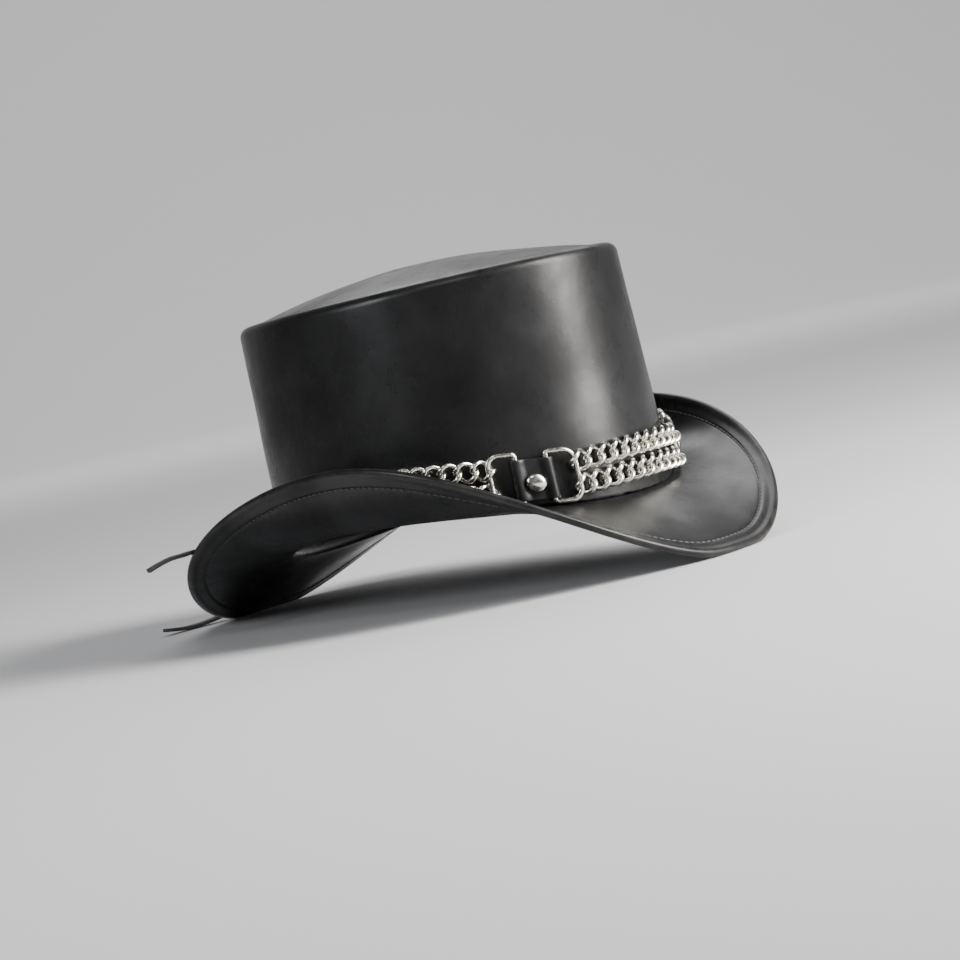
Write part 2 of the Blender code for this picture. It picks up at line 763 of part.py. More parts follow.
def smooth_route(rows, count):
    """Evenly spaced points on a smooth curve through the lace's own points."""
    points = np.array([brim_point(math.radians(angle), way, lift) for angle, way, lift in rows])
    padded = np.vstack([2 * points[0] - points[1], points, 2 * points[-1] - points[-2]])
    curve = []
    for i in range(1, len(padded) - 2):
        a, b, c, d = padded[i - 1 : i + 3]
        for t in np.linspace(0, 1, 8, endpoint=False):
            curve.append(
                0.5 * (2 * b + (c - a) * t + (2 * a - 5 * b + 4 * c - d) * t**2
                       + (3 * b - 3 * c + d - a) * t**3)
            )
    curve.append(points[-1])
    curve = np.array(curve)
    run = np.concatenate([[0], np.cumsum(np.linalg.norm(np.diff(curve, axis=0), axis=1))])
    wanted = np.linspace(0, run[-1], count)
    return np.stack([np.interp(wanted, run, curve[:, k]) for k in range(3)], 1)


def build_laces(leather):
    """The two free ends of the lace, which lie on the brim and run over its edge."""
    for name, rows in (("right_lace_end", RIGHT_LACE), ("left_lace_end", LEFT_LACE)):
        add_tube(name, smooth_route(rows, 15), LACE_THICKNESS / 2, 2, leather)


def main():
    for old in list(bpy.data.objects):
        bpy.data.objects.remove(old)
    rest = bpy.data.objects.new("rest_pose", None)
    rest.matrix_world = REST
    bpy.context.scene.collection.objects.link(rest)
    leather = material("blackened_leather", (0.022, 0.022, 0.024), 0.38, 0.0)
    lace = material("black_lace", (0.040, 0.038, 0.036), 0.62, 0.0)
    steel = material("pale_nickel", (0.82, 0.80, 0.74), 0.24, 1.0)
    build_leather(leather)
    build_band(leather, steel)
    build_knot(lace)
    build_laces(lace)


main()
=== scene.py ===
"""The finished look of a leather top hat: leather, stitching, wire, chain, lace and a plain studio."""

from math import atan2, cos, exp, hypot, pi, radians, sin

import bmesh
import bpy
import numpy as np
from bpy.props import FloatProperty, FloatVectorProperty, IntProperty, PointerProperty
from mathutils import Matrix, Vector, noise


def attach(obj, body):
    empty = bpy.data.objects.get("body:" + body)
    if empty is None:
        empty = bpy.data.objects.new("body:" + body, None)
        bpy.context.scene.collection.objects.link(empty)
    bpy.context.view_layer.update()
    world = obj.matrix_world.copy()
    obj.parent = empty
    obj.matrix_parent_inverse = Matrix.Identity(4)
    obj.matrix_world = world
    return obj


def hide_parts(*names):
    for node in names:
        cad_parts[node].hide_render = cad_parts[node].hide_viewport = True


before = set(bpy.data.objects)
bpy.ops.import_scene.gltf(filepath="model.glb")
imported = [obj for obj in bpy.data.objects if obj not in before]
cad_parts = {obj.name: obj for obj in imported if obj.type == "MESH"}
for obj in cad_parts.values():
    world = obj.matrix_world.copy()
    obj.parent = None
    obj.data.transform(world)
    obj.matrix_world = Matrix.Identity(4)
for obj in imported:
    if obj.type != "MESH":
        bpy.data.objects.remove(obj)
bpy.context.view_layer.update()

bl_info = {
    "name": "Leather Top Hat",
    "version": (1, 0, 0),
    "blender": (4, 5, 0),
    "location": "3D View > Sidebar > Top Hat",
    "description": "Makes the finished pieces of a leather top hat around its solid parts",
    "category": "Object",
}

# Crown
BASE_LENGTH = 0.2060
BASE_WIDTH = 0.1724
TOP_LENGTH = 0.2018
TOP_WIDTH = 0.1670
CROWN_HEIGHT = 0.1102
BASE_RISE = 0.0064
CROWN_WALL = 0.0025
SHOULDER_RADIUS = 0.0050
GROOVE_INSET = 0.0062
GROOVE_DEPTH = 0.0016
LIP_WIDTH = 0.0100
DISC_WALL = 0.0024
DOME_RISE = 0.0118

# Brim
BRIM_REACH = 0.0575
BRIM_LIFT = 0.0362
BRIM_WALL = 0.0024
BORDER_WIDTH = 0.0070
BORDER_WALL = 0.0034
RIM_THICKNESS = 0.0042
COLLAR_HEIGHT = 0.0070
COLLAR_BEND = 0.0026
PRESS_DEPTH = 0.0012
PRESS_BLEND = 0.0016
FLAT_DEPTH = 0.0009
# The brim's edge, as shares of BRIM_REACH out from the crown and of BRIM_LIFT up from it
BRIM_EDGE = (
    # angle, reach, lift
    (0, 0.820, -0.93),
    (45, 0.766, 0.231),
    (90, 0.461, 0.793),
    (135, 0.804, 0.218),
    (180, 0.990, -0.700),
)
# Where a section's bend point lies, as shares of its own reach and lift
FRONT_BEND = (0.50, 0.44)
SIDE_BEND = (0.78, 0.18)
STITCH_GROOVE_DEPTH = 0.00055
STITCH_GROOVE_WIDTH = 0.0007
STITCH_STEP = 0.0010
STITCH_SLANT = 0.10

# Hat band
BAND_HEIGHT = 0.0131
CHAIN_RISE = 0.0031
TAB_ANGLE = 37.4
TAB_WIDTH = 0.0194
TAB_HEIGHT = 0.0192
TAB_DROP = 0.0005
STRAP_WALL = 0.0013
STRAP_DIP = 0.0014
RING_WIRE = 0.0024
RING_HEIGHT = 0.0258
RING_DEPTH = 0.0123
RING_CORNER = 0.0052
BAR_CORNER = 0.0014
RING_TILT = 0.0016
CHAIN_DIP = 0.0018
LINK_WIRE = 0.0022
LINK_HEIGHT = 0.0106
LINK_PITCH = 0.0073
LINK_TWIST = 54.0
END_LINK_LEAN = -16.0
END_LINK_TWIST = 70.0
STRAND_SPACING = 0.0111
REAR_RING_ANGLE = 106.0
REAR_RING_RISE = 0.0014
RIVET_DIAMETER = 0.0087
RIVET_DOME = 0.0021
RIVET_SHANK = 0.0030
RIVET_DROP = 0.0021
WASHER_DIAMETER = 0.0074
WASHER_WALL = 0.0008

# Lace
LACE_WIDTH = 0.0060
LACE_THICKNESS = 0.0020
# How far above the lace the point lies that gives its upward way, and how near the floor it lies flat
LACE_UPWARD = 0.0040
FLOOR_REACH = 0.0040
KNOT_LENGTH = 0.0150
KNOT_DEPTH = 0.0092
KNOT_HEIGHT = 0.0125
KNOT_LACE = 0.0016
WRAP_WIDTH = 0.0062
BIGHT_WIDTH = 0.0078

# The free ends of the lace, as they lie on the brim and past its edge
# angle, share of the way from the crown to the edge, height of the middle above the brim
RIGHT_LACE = (
    (177.5, 0.035, 0.0070), (176.2, 0.09, 0.0066), (174, 0.14, 0.0054),
    (170.5, 0.20, 0.0034), (165, 0.28, 0.0022), (158, 0.38, 0.0021),
    (151, 0.52, 0.0021), (145, 0.67, 0.0021), (140, 0.83, 0.0021),
    (137, 1.00, 0.0026), (135, 1.14, 0.0022), (134, 1.29, 0.0009),
    (133.5, 1.44, -0.0010), (133, 1.58, -0.0034),
)
LEFT_LACE = (
    (182.5, 0.035, 0.0070), (183.2, 0.09, 0.0066), (184, 0.15, 0.0052),
    (184.6, 0.22, 0.0030), (185, 0.31, 0.0017), (184, 0.42, 0.0016),
    (182, 0.56, 0.0016), (179.5, 0.70, 0.0016), (176.5, 0.85, 0.0016),
    (173.5, 1.00, 0.0018), (170.5, 1.13, 0.0004), (167.5, 1.25, -0.0030),
    (164.5, 1.37, -0.0060), (161.5, 1.49, -0.0060),
)

# Fits
GAP = 0.0003
EDGE_ROUND = 0.0004
CUT_ROUND = 0.0003

# The hat's sides, and which way round the band each one lies
SIDES = (("right", 1), ("left", -1))

# Facets
SOLID_FACETS = 46
ROUND_FACETS = 368
LINK_FACETS = 36
KNOT_PLACES = 40
STITCH_PLACES = 720
LACE_PLACES = 60
# The lace lies level past this many of its places, within this many more
LEVEL_FROM = 40
LEVEL_WITHIN = 12

# Camera, about the hat in its own upright frame
CAMERA_AZIMUTH = -50.0
CAMERA_ELEVATION = 2.5
CAMERA_ROLL = -13.1
CAMERA_DISTANCE = 1.369
CAMERA_LENS = 105.3
CAMERA_AIM = 0.060
CAMERA_RIGHT = 0.0157
CAMERA_DOWN = 0.0455
WALL_AIM = (3.8, 3.2, 0.4)


def smooth_step(share):
    """0 to 1 with level ends."""
    share = np.clip(share, 0.0, 1.0)
    return share * share * (3 - 2 * share)


def turns(count, shift=0.0):
    """Angles evenly round a full circle, in radians."""
    return (np.arange(count) + shift) * 2 * pi / count


def unit(ways):
    """Rows of vectors, each made one long."""
    return ways / np.linalg.norm(ways, axis=1)[:, None]


def run_along(line):
    """How far along a line each of its points lies."""
    return np.concatenate([[0], np.cumsum(np.linalg.norm(np.diff(line, axis=0), axis=1))])


def picked(wanted, run, rows):
    """The rows at these distances along a run, with each column interpolated."""
    return np.stack([np.interp(wanted, run, column) for column in rows.T], -1)


def oval(angle, half_length, half_width):
    """A point of an oval at this angle from the front, in radians."""
    return np.array([-half_width * sin(angle), -half_length * cos(angle)])


def heading(angle):
    """The direction from the middle of the hat to the base oval's point at this angle."""
    return atan2(BASE_WIDTH * sin(angle), BASE_LENGTH * cos(angle))


def base_level(angle):
    """Height of the crown's bottom edge, which is lower at the front and the rear."""
    return -BASE_RISE * cos(2 * angle)


def cosine_series(column):
    """The even, closed curve through one column of BRIM_EDGE, as its cosine terms."""
    rows = np.array(BRIM_EDGE)
    orders = np.arange(len(rows))
    waves = np.cos(np.radians(rows[:, :1]) * orders)
    return np.linalg.solve(waves, rows[:, column])


REACH_TERMS = cosine_series(1)
LIFT_TERMS = cosine_series(2)


def brim_edge(angle):
    """Reach and lift of the brim's edge at this angle, in metres."""
    waves = np.cos(np.arange(len(BRIM_EDGE)) * angle)
    return BRIM_REACH * float(REACH_TERMS @ waves), BRIM_LIFT * float(LIFT_TERMS @ waves)


def pressed(height, lowest):
    """A height of the brim's edge, raised where the hat's weight presses its lowest stretch flat."""
    floor = lowest + PRESS_DEPTH
    return 0.5 * (height + floor + hypot(height - floor, PRESS_BLEND))


def brim_line(angle, steps=24):
    """The middle of the brim's wall from the crown to the edge, as (reach, height) points."""
    reach, lift = brim_edge(heading(angle))
    end_angle = 0.0 if cos(angle) > 0 else pi
    lowest = base_level(end_angle) + brim_edge(end_angle)[1]
    lift = pressed(base_level(angle) + lift, lowest) - base_level(angle)
    side = (1 - cos(2 * angle)) / 2
    bend_reach, bend_lift = [f + (s - f) * side for f, s in zip(FRONT_BEND, SIDE_BEND)]
    start = np.array([0.0, base_level(angle) - GAP - BRIM_WALL / 2])
    middle = start + np.array([reach * bend_reach, lift * bend_lift])
    end = start + np.array([reach - RIM_THICKNESS / 2, lift])
    share = np.linspace(0, 1, steps)[:, None]
    return start * (1 - share) ** 2 + 2 * middle * share * (1 - share) + end * share**2


def at_lengths(line, lengths):
    """Points and normals of a polyline at these distances from its end."""
    run = run_along(line)
    wanted = run[-1] - np.array(lengths)
    points = picked(wanted, run, line)
    slopes = unit(picked(wanted, run, np.gradient(line, run, axis=0)))
    return points, np.stack([-slopes[:, 1], slopes[:, 0]], 1), run[-1]


def brim_half_wall(lengths):
    """Half the brim's wall at these distances from the rim's middle, with its border and groove."""
    lengths = np.array(lengths)
    rim = RIM_THICKNESS / 2
    border = BORDER_WALL / 2
    wall = BRIM_WALL / 2
    half = rim + (border - rim) * smooth_step(lengths / 0.0032)
    half = half + (wall - half) * smooth_step((lengths - BORDER_WIDTH) / 0.0010)
    groove = np.exp(-((lengths - BORDER_WIDTH) / STITCH_GROOVE_WIDTH) ** 2)
    return half - STITCH_GROOVE_DEPTH * groove


def brim_waves(angle, way):
    """The small unevenness of hand-shaped leather, out along the wall's normal."""
    place = Vector((3.1 * cos(angle), 3.1 * sin(angle), 1.7 * way))
    return 0.0005 * noise.noise(place) * smooth_step(way * 2.5)


def brim_section(angle):
    """The closed outline of the brim at one angle: (reach, height) points and a wear value for each."""
    line = brim_line(angle, 40)
    _, _, total = at_lengths(line, [0])
    lengths = np.concatenate([np.linspace(0.0004, 0.0034, 7),
                              np.linspace(0.0042, BORDER_WIDTH - 0.0016, 3),
                              BORDER_WIDTH + np.linspace(-0.0011, 0.0016, 10),
                              np.linspace(BORDER_WIDTH + 0.0035, total, 12)])
    halves = brim_half_wall(lengths)
    points, normals, _ = at_lengths(line, lengths)
    swing = np.array([brim_waves(angle, 1 - s / total) for s in lengths])[:, None]
    points = points + normals * swing
    upper = points + normals * halves[:, None]
    lower = points - normals * halves[:, None]
    tip, normal, _ = at_lengths(line, [0])
    tip = tip[0] + normal[0] * brim_waves(angle, 1.0)
    outward = np.array([normal[0, 1], -normal[0, 0]])
    rim = [
        tip + RIM_THICKNESS / 2 * (sin(turn) * normal[0] + cos(turn) * outward)
        for turn in np.radians(np.arange(72, -73, -18))
    ]
    level = base_level(angle) - GAP
    foot = lower[-1, 1]
    outer = -CROWN_WALL - GAP
    inner = outer - BRIM_WALL
    turn = np.radians((90, 72, 54, 36, 18, 0))
    radius = COLLAR_BEND
    collar_top = level + COLLAR_HEIGHT
    collar = [(outer, level), (outer, collar_top - EDGE_ROUND), (outer - EDGE_ROUND, collar_top)]
    collar += [(inner + EDGE_ROUND, collar_top), (inner, collar_top - EDGE_ROUND)]
    collar += [(inner + radius * (1 - sin(t)), foot + radius * (1 - cos(t))) for t in turn]
    wear = [smooth_step(1 - s / 0.0035) * 0.6 for s in lengths]
    values = wear[::-1] + [1.0] * len(rim) + wear + [0.3] * len(collar)
    return np.vstack([lower[::-1], rim[::-1], upper, collar]), values


def brim_place(angle, reach):
    """The plan position this far out from the crown's base, or inside it where reach is negative."""
    if reach < 0:
        return oval(angle, BASE_LENGTH / 2 + reach, BASE_WIDTH / 2 + reach)
    toward = heading(angle)
    away = np.array([-sin(toward), -cos(toward)])
    return oval(angle, BASE_LENGTH / 2, BASE_WIDTH / 2) + away * reach


def solid_outline(angle):
    """The lowest line of the solid brim's rim at one angle, which sets how the hat lies."""
    tip, normal, _ = at_lengths(brim_line(angle), [0])
    outward = np.array([normal[0, 1], -normal[0, 0]])
    return [
        tip[0] + RIM_THICKNESS / 2 * (sin(turn) * normal[0] + cos(turn) * outward)
        for turn in np.radians((-48, 0, 48))
    ] + [at_lengths(brim_line(angle), [0.001])[0][0] - normal[0] * RIM_THICKNESS / 2]


def rest_matrix():
    """Sets the hat down on its brim, with the middle of its outline over the origin."""
    points = np.array([(*brim_place(angle, reach), height) for angle in turns(SOLID_FACETS, 0.5)
                       for reach, height in solid_outline(angle)])
    front = points[points[:, 1] < 0]
    rear = points[points[:, 1] > 0]
    low_front = front[front[:, 2].argmin()]
    low_rear = rear[rear[:, 2].argmin()]
    tilt = atan2(low_rear[2] - low_front[2], low_rear[1] - low_front[1])
    turn = Matrix.Rotation(-tilt, 4, "X")
    turned = np.array([turn @ Vector(p) for p in points])
    middle = (turned[:, 1].min() + turned[:, 1].max()) / 2
    return Matrix.Translation((0, -middle, -turned[:, 2].min() - FLAT_DEPTH)) @ turn


REST = rest_matrix()


def rested(points):
    """Points of the upright hat where they lie with the hat set down."""
    turn = np.array(REST)
    return np.array(points) @ turn[:3, :3].T + turn[:3, 3]


def band_sizes():
    """Half length and half width of the crown's outside at the hat band."""
    share = BAND_HEIGHT / CROWN_HEIGHT
    return ((BASE_LENGTH + (TOP_LENGTH - BASE_LENGTH) * share) / 2,
            (BASE_WIDTH + (TOP_WIDTH - BASE_WIDTH) * share) / 2)


BAND_ANGLES = np.linspace(-pi, pi, 1441)
BAND_LINE = np.array([oval(a, *band_sizes()) for a in BAND_ANGLES])
BAND_RUN = run_along(BAND_LINE)
BAND_RUN -= np.interp(0, BAND_ANGLES, BAND_RUN)
CROWN_LEAN = (BASE_LENGTH - TOP_LENGTH) / 2 / CROWN_HEIGHT


def run_at(angle):
    """Distance round the band from the front to this angle in degrees."""
    return float(np.interp(radians(angle), BAND_ANGLES, BAND_RUN))


def bend(flat):
    """Wraps flat points (round, out, up) about the crown, up from the middle of the band."""
    half = run_at(180)
    half_length, half_width = band_sizes()
    points = []
    for run, out, up in flat:
        angle = np.interp((run + half) % (2 * half) - half, BAND_RUN, BAND_ANGLES)
        place = oval(angle, half_length, half_width)
        away = np.array([place[0] / half_width**2, place[1] / half_length**2])
        away /= np.linalg.norm(away)
        place = place + away * (out - up * CROWN_LEAN)
        points.append((place[0], place[1], base_level(angle) + BAND_HEIGHT + up))
    return rested(points)


def add_piece(name, solid, points, faces, look, wear=None):
    """A smooth mesh piece on the hat's one body, standing for the solid named, if there is one."""
    make, slot = LOOKS[look]
    mesh = bpy.data.meshes.new(name)
    mesh.from_pydata([tuple(p) for p in points], [], faces)
    shape = bmesh.new()
    shape.from_mesh(mesh)
    bmesh.ops.recalc_face_normals(shape, faces=shape.faces)
    shape.to_mesh(mesh)
    shape.free()
    mesh.shade_smooth()
    if wear is not None:
        layer = mesh.attributes.new("wear", "FLOAT", "POINT")
        layer.data.foreach_set("value", np.array(wear, dtype=np.float32))
    mesh.materials.append(bpy.data.materials.get(look) or make(look))
    piece = bpy.data.objects.new(name, mesh)
    bpy.context.scene.collection.objects.link(piece)
    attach(piece, "root")
    if solid:
        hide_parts(solid)
    return piece


def grid_faces(rows, columns, close_rows=True, close_columns=True):
    """Quads of a grid of vertices that closes on itself along either way."""
    faces = []
    for row in range(rows if close_rows else rows - 1):
        below = (row + 1) % rows
        for column in range(columns if close_columns else columns - 1):
            after = (column + 1) % columns
            faces.append((row * columns + column, below * columns + column,
                          below * columns + after, row * columns + after))
    return faces


def merge(whole, part):
    """Adds the points, faces and other lists of a part to those of the whole piece."""
    start = len(whole[0])
    whole[0].extend(part[0])
    whole[1].extend(tuple(v + start for v in face) for face in part[1])
    for values, more in zip(whole[2:], part[2:]):
        values.extend(more)


def end_faces(rows, columns):
    """The two faces that close the ends of a grid of vertices."""
    last = (rows - 1) * columns
    return [tuple(range(columns)), tuple(range(last, last + columns))]


def along_path(path, closed):
    """The way a path runs at each of its points."""
    if closed:
        return unit(np.roll(path, -1, axis=0) - np.roll(path, 1, axis=0))
    return unit(np.gradient(path, axis=0))


def swept(path, radius, sides):
    """Vertices and faces of a closed ring of round wire along a flat path of (round, out, up) points."""
    path = np.array(path)
    along = along_path(path, True)
    side = unit(np.cross(along, (0.0, 1.0, 0.0)))
    face = np.cross(side, along)
    round_wire = turns(sides)
    rings = [path[i] + radius * (cos(t) * side[i] + sin(t) * face[i])
             for i in range(len(path)) for t in round_wire]
    return rings, grid_faces(len(path), sides)


class Finish:
    """Adds and joins the nodes of one material."""

    def __init__(self, name):
        self.material = bpy.data.materials.new(name)
        self.material.use_nodes = True
        self.nodes = self.material.node_tree.nodes
        self.links = self.material.node_tree.links
        self.shader = self.nodes["Principled BSDF"]

    def add(self, kind, **settings):
        """A node with these input values, by name, or properties."""
        node = self.nodes.new(kind)
        for key, value in settings.items():
            if key in node.inputs:
                node.inputs[key].default_value = value
            else:
                setattr(node, key, value)
        return node

    def join(self, out, into):
        self.links.new(out, into)

    def feed(self, name, out):
        """Joins a socket to the shader's input of this name."""
        self.join(out, self.shader.inputs[name])

    def position(self):
        return self.add("ShaderNodeTexCoord").outputs["Object"]

    def wear(self):
        return self.add("ShaderNodeAttribute", attribute_name="wear").outputs["Fac"]

    def noise(self, place, scale, detail=4.0, roughness=0.5, distortion=0.0):
        """A noise texture's value at this many waves to the metre."""
        node = self.add("ShaderNodeTexNoise", Scale=scale, Detail=detail, Roughness=roughness,
                        Distortion=distortion)
        self.join(place, node.inputs["Vector"])
        return node.outputs["Fac"]

    def ramp(self, value, *stops):
        """A colour ramp with stops of (position, grey or colour)."""
        node = self.add("ShaderNodeValToRGB")
        elements = node.color_ramp.elements
        while len(elements) < len(stops):
            elements.new(1.0)
        for element, (position, colour) in zip(elements, stops):
            element.position = position
            colour = (colour,) * 3 if isinstance(colour, float) else tuple(colour)
            element.color = (*colour, 1.0)
        self.join(value, node.inputs["Fac"])
        return node.outputs["Color"]

    def mix(self, share, first, second):
        """Two colours mixed by a share that is a number or a socket."""
        node = self.add("ShaderNodeMix", data_type="RGBA")
        for at, value in ((0, share), (6, first), (7, second)):
            if hasattr(value, "is_output"):
                self.join(value, node.inputs[at])
            else:
                node.inputs[at].default_value = (*value, 1.0) if isinstance(value, tuple) else value
        return node.outputs[2]

    def math(self, operation, first, second):
        node = self.add("ShaderNodeMath", operation=operation)
        for socket, value in zip(node.inputs, (first, second)):
            if hasattr(value, "is_output"):
                self.join(value, socket)
            else:
                socket.default_value = value
        return node.outputs[0]

    def bump(self, height, strength, distance, below=None):
        """A bump on top of another."""
        node = self.add("ShaderNodeBump", Strength=strength, Distance=distance)
        self.join(height, node.inputs["Height"])
        if below is not None:
            self.join(below, node.inputs["Normal"])
        return node.outputs["Normal"]


def leather_finish(name, colour, roughness, grain, coat):
    """Black, waxed leather: cloudy colour, fine grain, a soft coat and paler worn edges."""
    finish = Finish(name)
    place = finish.position()
    clouds = finish.noise(place, 20.0, 5.0, 0.55, 0.3)
    smears = finish.noise(place, 44.0, 6.0, 0.62, 0.25)
    pores = finish.add("ShaderNodeTexVoronoi", Scale=1500.0)
    finish.join(place, pores.inputs["Vector"])
    creases = finish.noise(place, 420.0, 6.0, 0.65)
    pale = tuple(c * 1.8 + 0.001 for c in colour)
    dark = tuple(c * 0.5 for c in colour)
    base = finish.mix(finish.ramp(clouds, (0.38, 0.0), (0.72, 1.0)), dark, pale)
    base = finish.mix(finish.ramp(smears, (0.50, 0.0), (0.85, 0.3)), base, pale)
    rubbed = finish.noise(place, 90.0, 6.0, 0.7)
    scuffs = finish.math("MULTIPLY", finish.wear(), finish.ramp(rubbed, (0.42, 0.0), (0.72, 1.0)))
    base = finish.mix(finish.math("MULTIPLY", scuffs, 0.35), base, (0.062, 0.059, 0.056))
    finish.feed("Base Color", base)
    shine = finish.ramp(clouds, (0.34, roughness + 0.08), (0.70, roughness - 0.06))
    shine = finish.mix(finish.ramp(smears, (0.42, 0.0), (0.78, 0.45)), shine, (roughness + 0.14,) * 3)
    finish.feed("Roughness", shine)
    normal = finish.bump(pores.outputs["Distance"], 0.10 * grain, 0.00012)
    normal = finish.bump(creases, 0.14 * grain, 0.00018, normal)
    normal = finish.bump(finish.noise(place, 46.0, 3.0), 0.20, 0.0010, normal)
    finish.feed("Normal", normal)
    finish.feed("Coat Normal", normal)
    finish.feed("Coat Weight", finish.ramp(clouds, (0.36, coat * 0.35), (0.66, coat * 1.6)))
    finish.feed("Coat Roughness", finish.ramp(smears, (0.36, 0.24), (0.74, 0.40)))
    finish.shader.inputs["Specular IOR Level"].default_value = 0.24
    return finish.material


def lace_finish(name):
    """Cut leather lace: matt, fibrous and a little grey along its edges."""
    finish = Finish(name)
    place = finish.position()
    fibres = finish.noise(place, 900.0, 6.0, 0.7, 0.8)
    patches = finish.noise(place, 120.0, 4.0)
    share = finish.ramp(patches, (0.35, 0.0), (0.7, 1.0))
    base = finish.mix(share, (0.020, 0.019, 0.018), (0.052, 0.049, 0.045))
    base = finish.mix(finish.math("MULTIPLY", finish.wear(), 0.5), base, (0.105, 0.097, 0.088))
    finish.feed("Base Color", base)
    finish.feed("Roughness", finish.ramp(fibres, (0.3, 0.50), (0.7, 0.72)))
    normal = finish.bump(fibres, 0.35, 0.00015)
    normal = finish.bump(patches, 0.3, 0.0003, normal)
    finish.feed("Normal", normal)
    return finish.material


def nickel_finish(name):
    """Warm nickel plate with handling marks and a slightly wavy polish."""
    look = bpy.context.scene.top_hat.metal
    colour, roughness = tuple(look.colour), look.roughness
    finish = Finish(name)
    place = finish.position()
    marks = finish.noise(place, 700.0, 5.0, 0.6, 0.6)
    patches = finish.noise(place, 160.0, 3.0)
    dull = tuple(c * 0.80 for c in colour)
    base = finish.mix(finish.ramp(patches, (0.42, 0.0), (0.75, 0.8)), colour, dull)
    finish.feed("Base Color", base)
    finish.feed("Roughness", finish.ramp(marks, (0.35, roughness - 0.05), (0.75, roughness + 0.16)))
    normal = finish.bump(marks, 0.05, 0.00004)
    normal = finish.bump(patches, 0.06, 0.00020, normal)
    finish.feed("Normal", normal)
    finish.shader.inputs["Metallic"].default_value = 1.0
    return finish.material


def thread_finish(name):
    """Waxed black thread, twisted."""
    finish = Finish(name)
    place = finish.position()
    twist = finish.noise(place, 2600.0, 2.0)
    share = finish.ramp(twist, (0.35, 0.0), (0.65, 1.0))
    base = finish.mix(share, (0.016, 0.016, 0.017), (0.060, 0.059, 0.058))
    finish.feed("Base Color", base)
    finish.feed("Roughness", finish.ramp(twist, (0.3, 0.42), (0.7, 0.62)))
    finish.feed("Normal", finish.bump(twist, 0.4, 0.0001))
    return finish.material


def studio_finish(name, colour):
    """Plain matt paper."""
    finish = Finish(name)
    finish.shader.inputs["Base Color"].default_value = (*colour, 1.0)
    finish.shader.inputs["Roughness"].default_value = 0.92
    return finish.material


def hat_leather(name):
    """The leather of the crown and the brim."""
    look = bpy.context.scene.top_hat.leather
    return leather_finish(name, tuple(look.colour), look.roughness, look.grain, 0.3)


def band_leather(name):
    """The tabs' leather, duller and coarser than the hat's."""
    look = bpy.context.scene.top_hat.leather
    colour = tuple(c * 1.15 for c in look.colour)
    return leather_finish(name, colour, look.roughness + 0.04, look.grain * 1.6, 0.15)


LOOKS = {
    "waxed_hat_leather": (hat_leather, "blackened_leather"),
    "band_leather": (band_leather, "blackened_leather"),
    "waxed_thread": (thread_finish, "blackened_leather"),
    "warm_nickel": (nickel_finish, "pale_nickel"),
    "cut_lace_leather": (lace_finish, "black_lace"),
}


def profile_ovals(angle):
    """The crown's outline at one angle: (inset from the top oval or the base oval, height, wear)."""
    low = base_level(angle)
    ragged = 0.0010 * noise.noise(Vector((38 * cos(angle), 38 * sin(angle), 0.0)))
    ragged += 0.0007 * noise.noise(Vector((15 * cos(angle), 15 * sin(angle), 5.0)))
    low_edge = low + max(ragged, -GAP)
    base = np.array([BASE_LENGTH / 2, BASE_WIDTH / 2])
    top = np.array([TOP_LENGTH / 2, TOP_WIDTH / 2])
    straight = CROWN_HEIGHT - SHOULDER_RADIUS
    rows = []

    def add(sizes, inset, height, wear=0.0):
        rows.append((sizes[0] - inset, sizes[1] - inset, height, wear))

    add(base, CROWN_WALL - CUT_ROUND, low_edge, 0.9)
    add(base, CUT_ROUND, low_edge, 1.0)
    add(base, 0.0, low_edge + EDGE_ROUND, 0.8)
    for height in (0.0012, 0.003):
        add(base, 0.0, low + height, 0.15)
    for share in np.linspace(0.06, 1.0, 16):
        height = low + (straight - low) * share
        sizes = base + (top - base) * min(1.0, max(0.0, height / straight))
        place = Vector((2.2 * cos(angle), 2.2 * sin(angle), height * 30))
        swell = 0.0005 * noise.noise(place) * sin(pi * share)
        add(sizes + swell, 0.0, height)
    for turn in np.radians(np.arange(10, 91, 10)):
        inset = SHOULDER_RADIUS * (1 - cos(turn))
        wear = 0.75 * sin(turn)
        add(top, inset, CROWN_HEIGHT - SHOULDER_RADIUS * (1 - sin(turn)), wear)
    edge = GROOVE_INSET
    add(top, edge - 0.0005, CROWN_HEIGHT - 0.0002, 0.5)
    add(top, edge - 0.0001, CROWN_HEIGHT - GROOVE_DEPTH * 0.45, 0.3)
    lip = CROWN_HEIGHT - DISC_WALL - GAP - GROOVE_DEPTH * 0.5
    add(top, edge, CROWN_HEIGHT - GROOVE_DEPTH * 0.9)
    add(top, edge, lip)
    add(top, edge + LIP_WIDTH - CUT_ROUND, lip)
    add(top, edge + LIP_WIDTH, lip - CUT_ROUND, 0.5)
    add(top, edge + LIP_WIDTH, lip - CROWN_WALL + CUT_ROUND, 0.5)
    add(top, edge + LIP_WIDTH - CUT_ROUND, lip - CROWN_WALL, 0.3)
    inner_radius = SHOULDER_RADIUS - CROWN_WALL
    for turn in np.radians((90, 67, 45, 22, 0)):
        inset = CROWN_WALL + inner_radius * (1 - cos(turn))
        add(top, inset, lip - CROWN_WALL - inner_radius * (1 - sin(turn)))
    for share in (0.75, 0.5, 0.25, 0.0):
        height = low + (lip - CROWN_WALL - inner_radius - low) * share
        sizes = base + (top - base) * max(0.0, height / straight)
        add(sizes, CROWN_WALL, height + CUT_ROUND * (share == 0.0))
    return rows


def build_crown():
    """The crown's wall, from its raw lower edge over the shoulder to the lip under the top."""
    points, wear = [], []
    for angle in turns(ROUND_FACETS):
        for half_length, half_width, height, worn in profile_ovals(angle):
            points.append((*oval(angle, half_length, half_width), height))
            wear.append(worn)
    columns = len(points) // ROUND_FACETS
    faces = grid_faces(ROUND_FACETS, columns)
    add_piece("crown_leather", "crown", rested(points), faces, "waxed_hat_leather", wear)


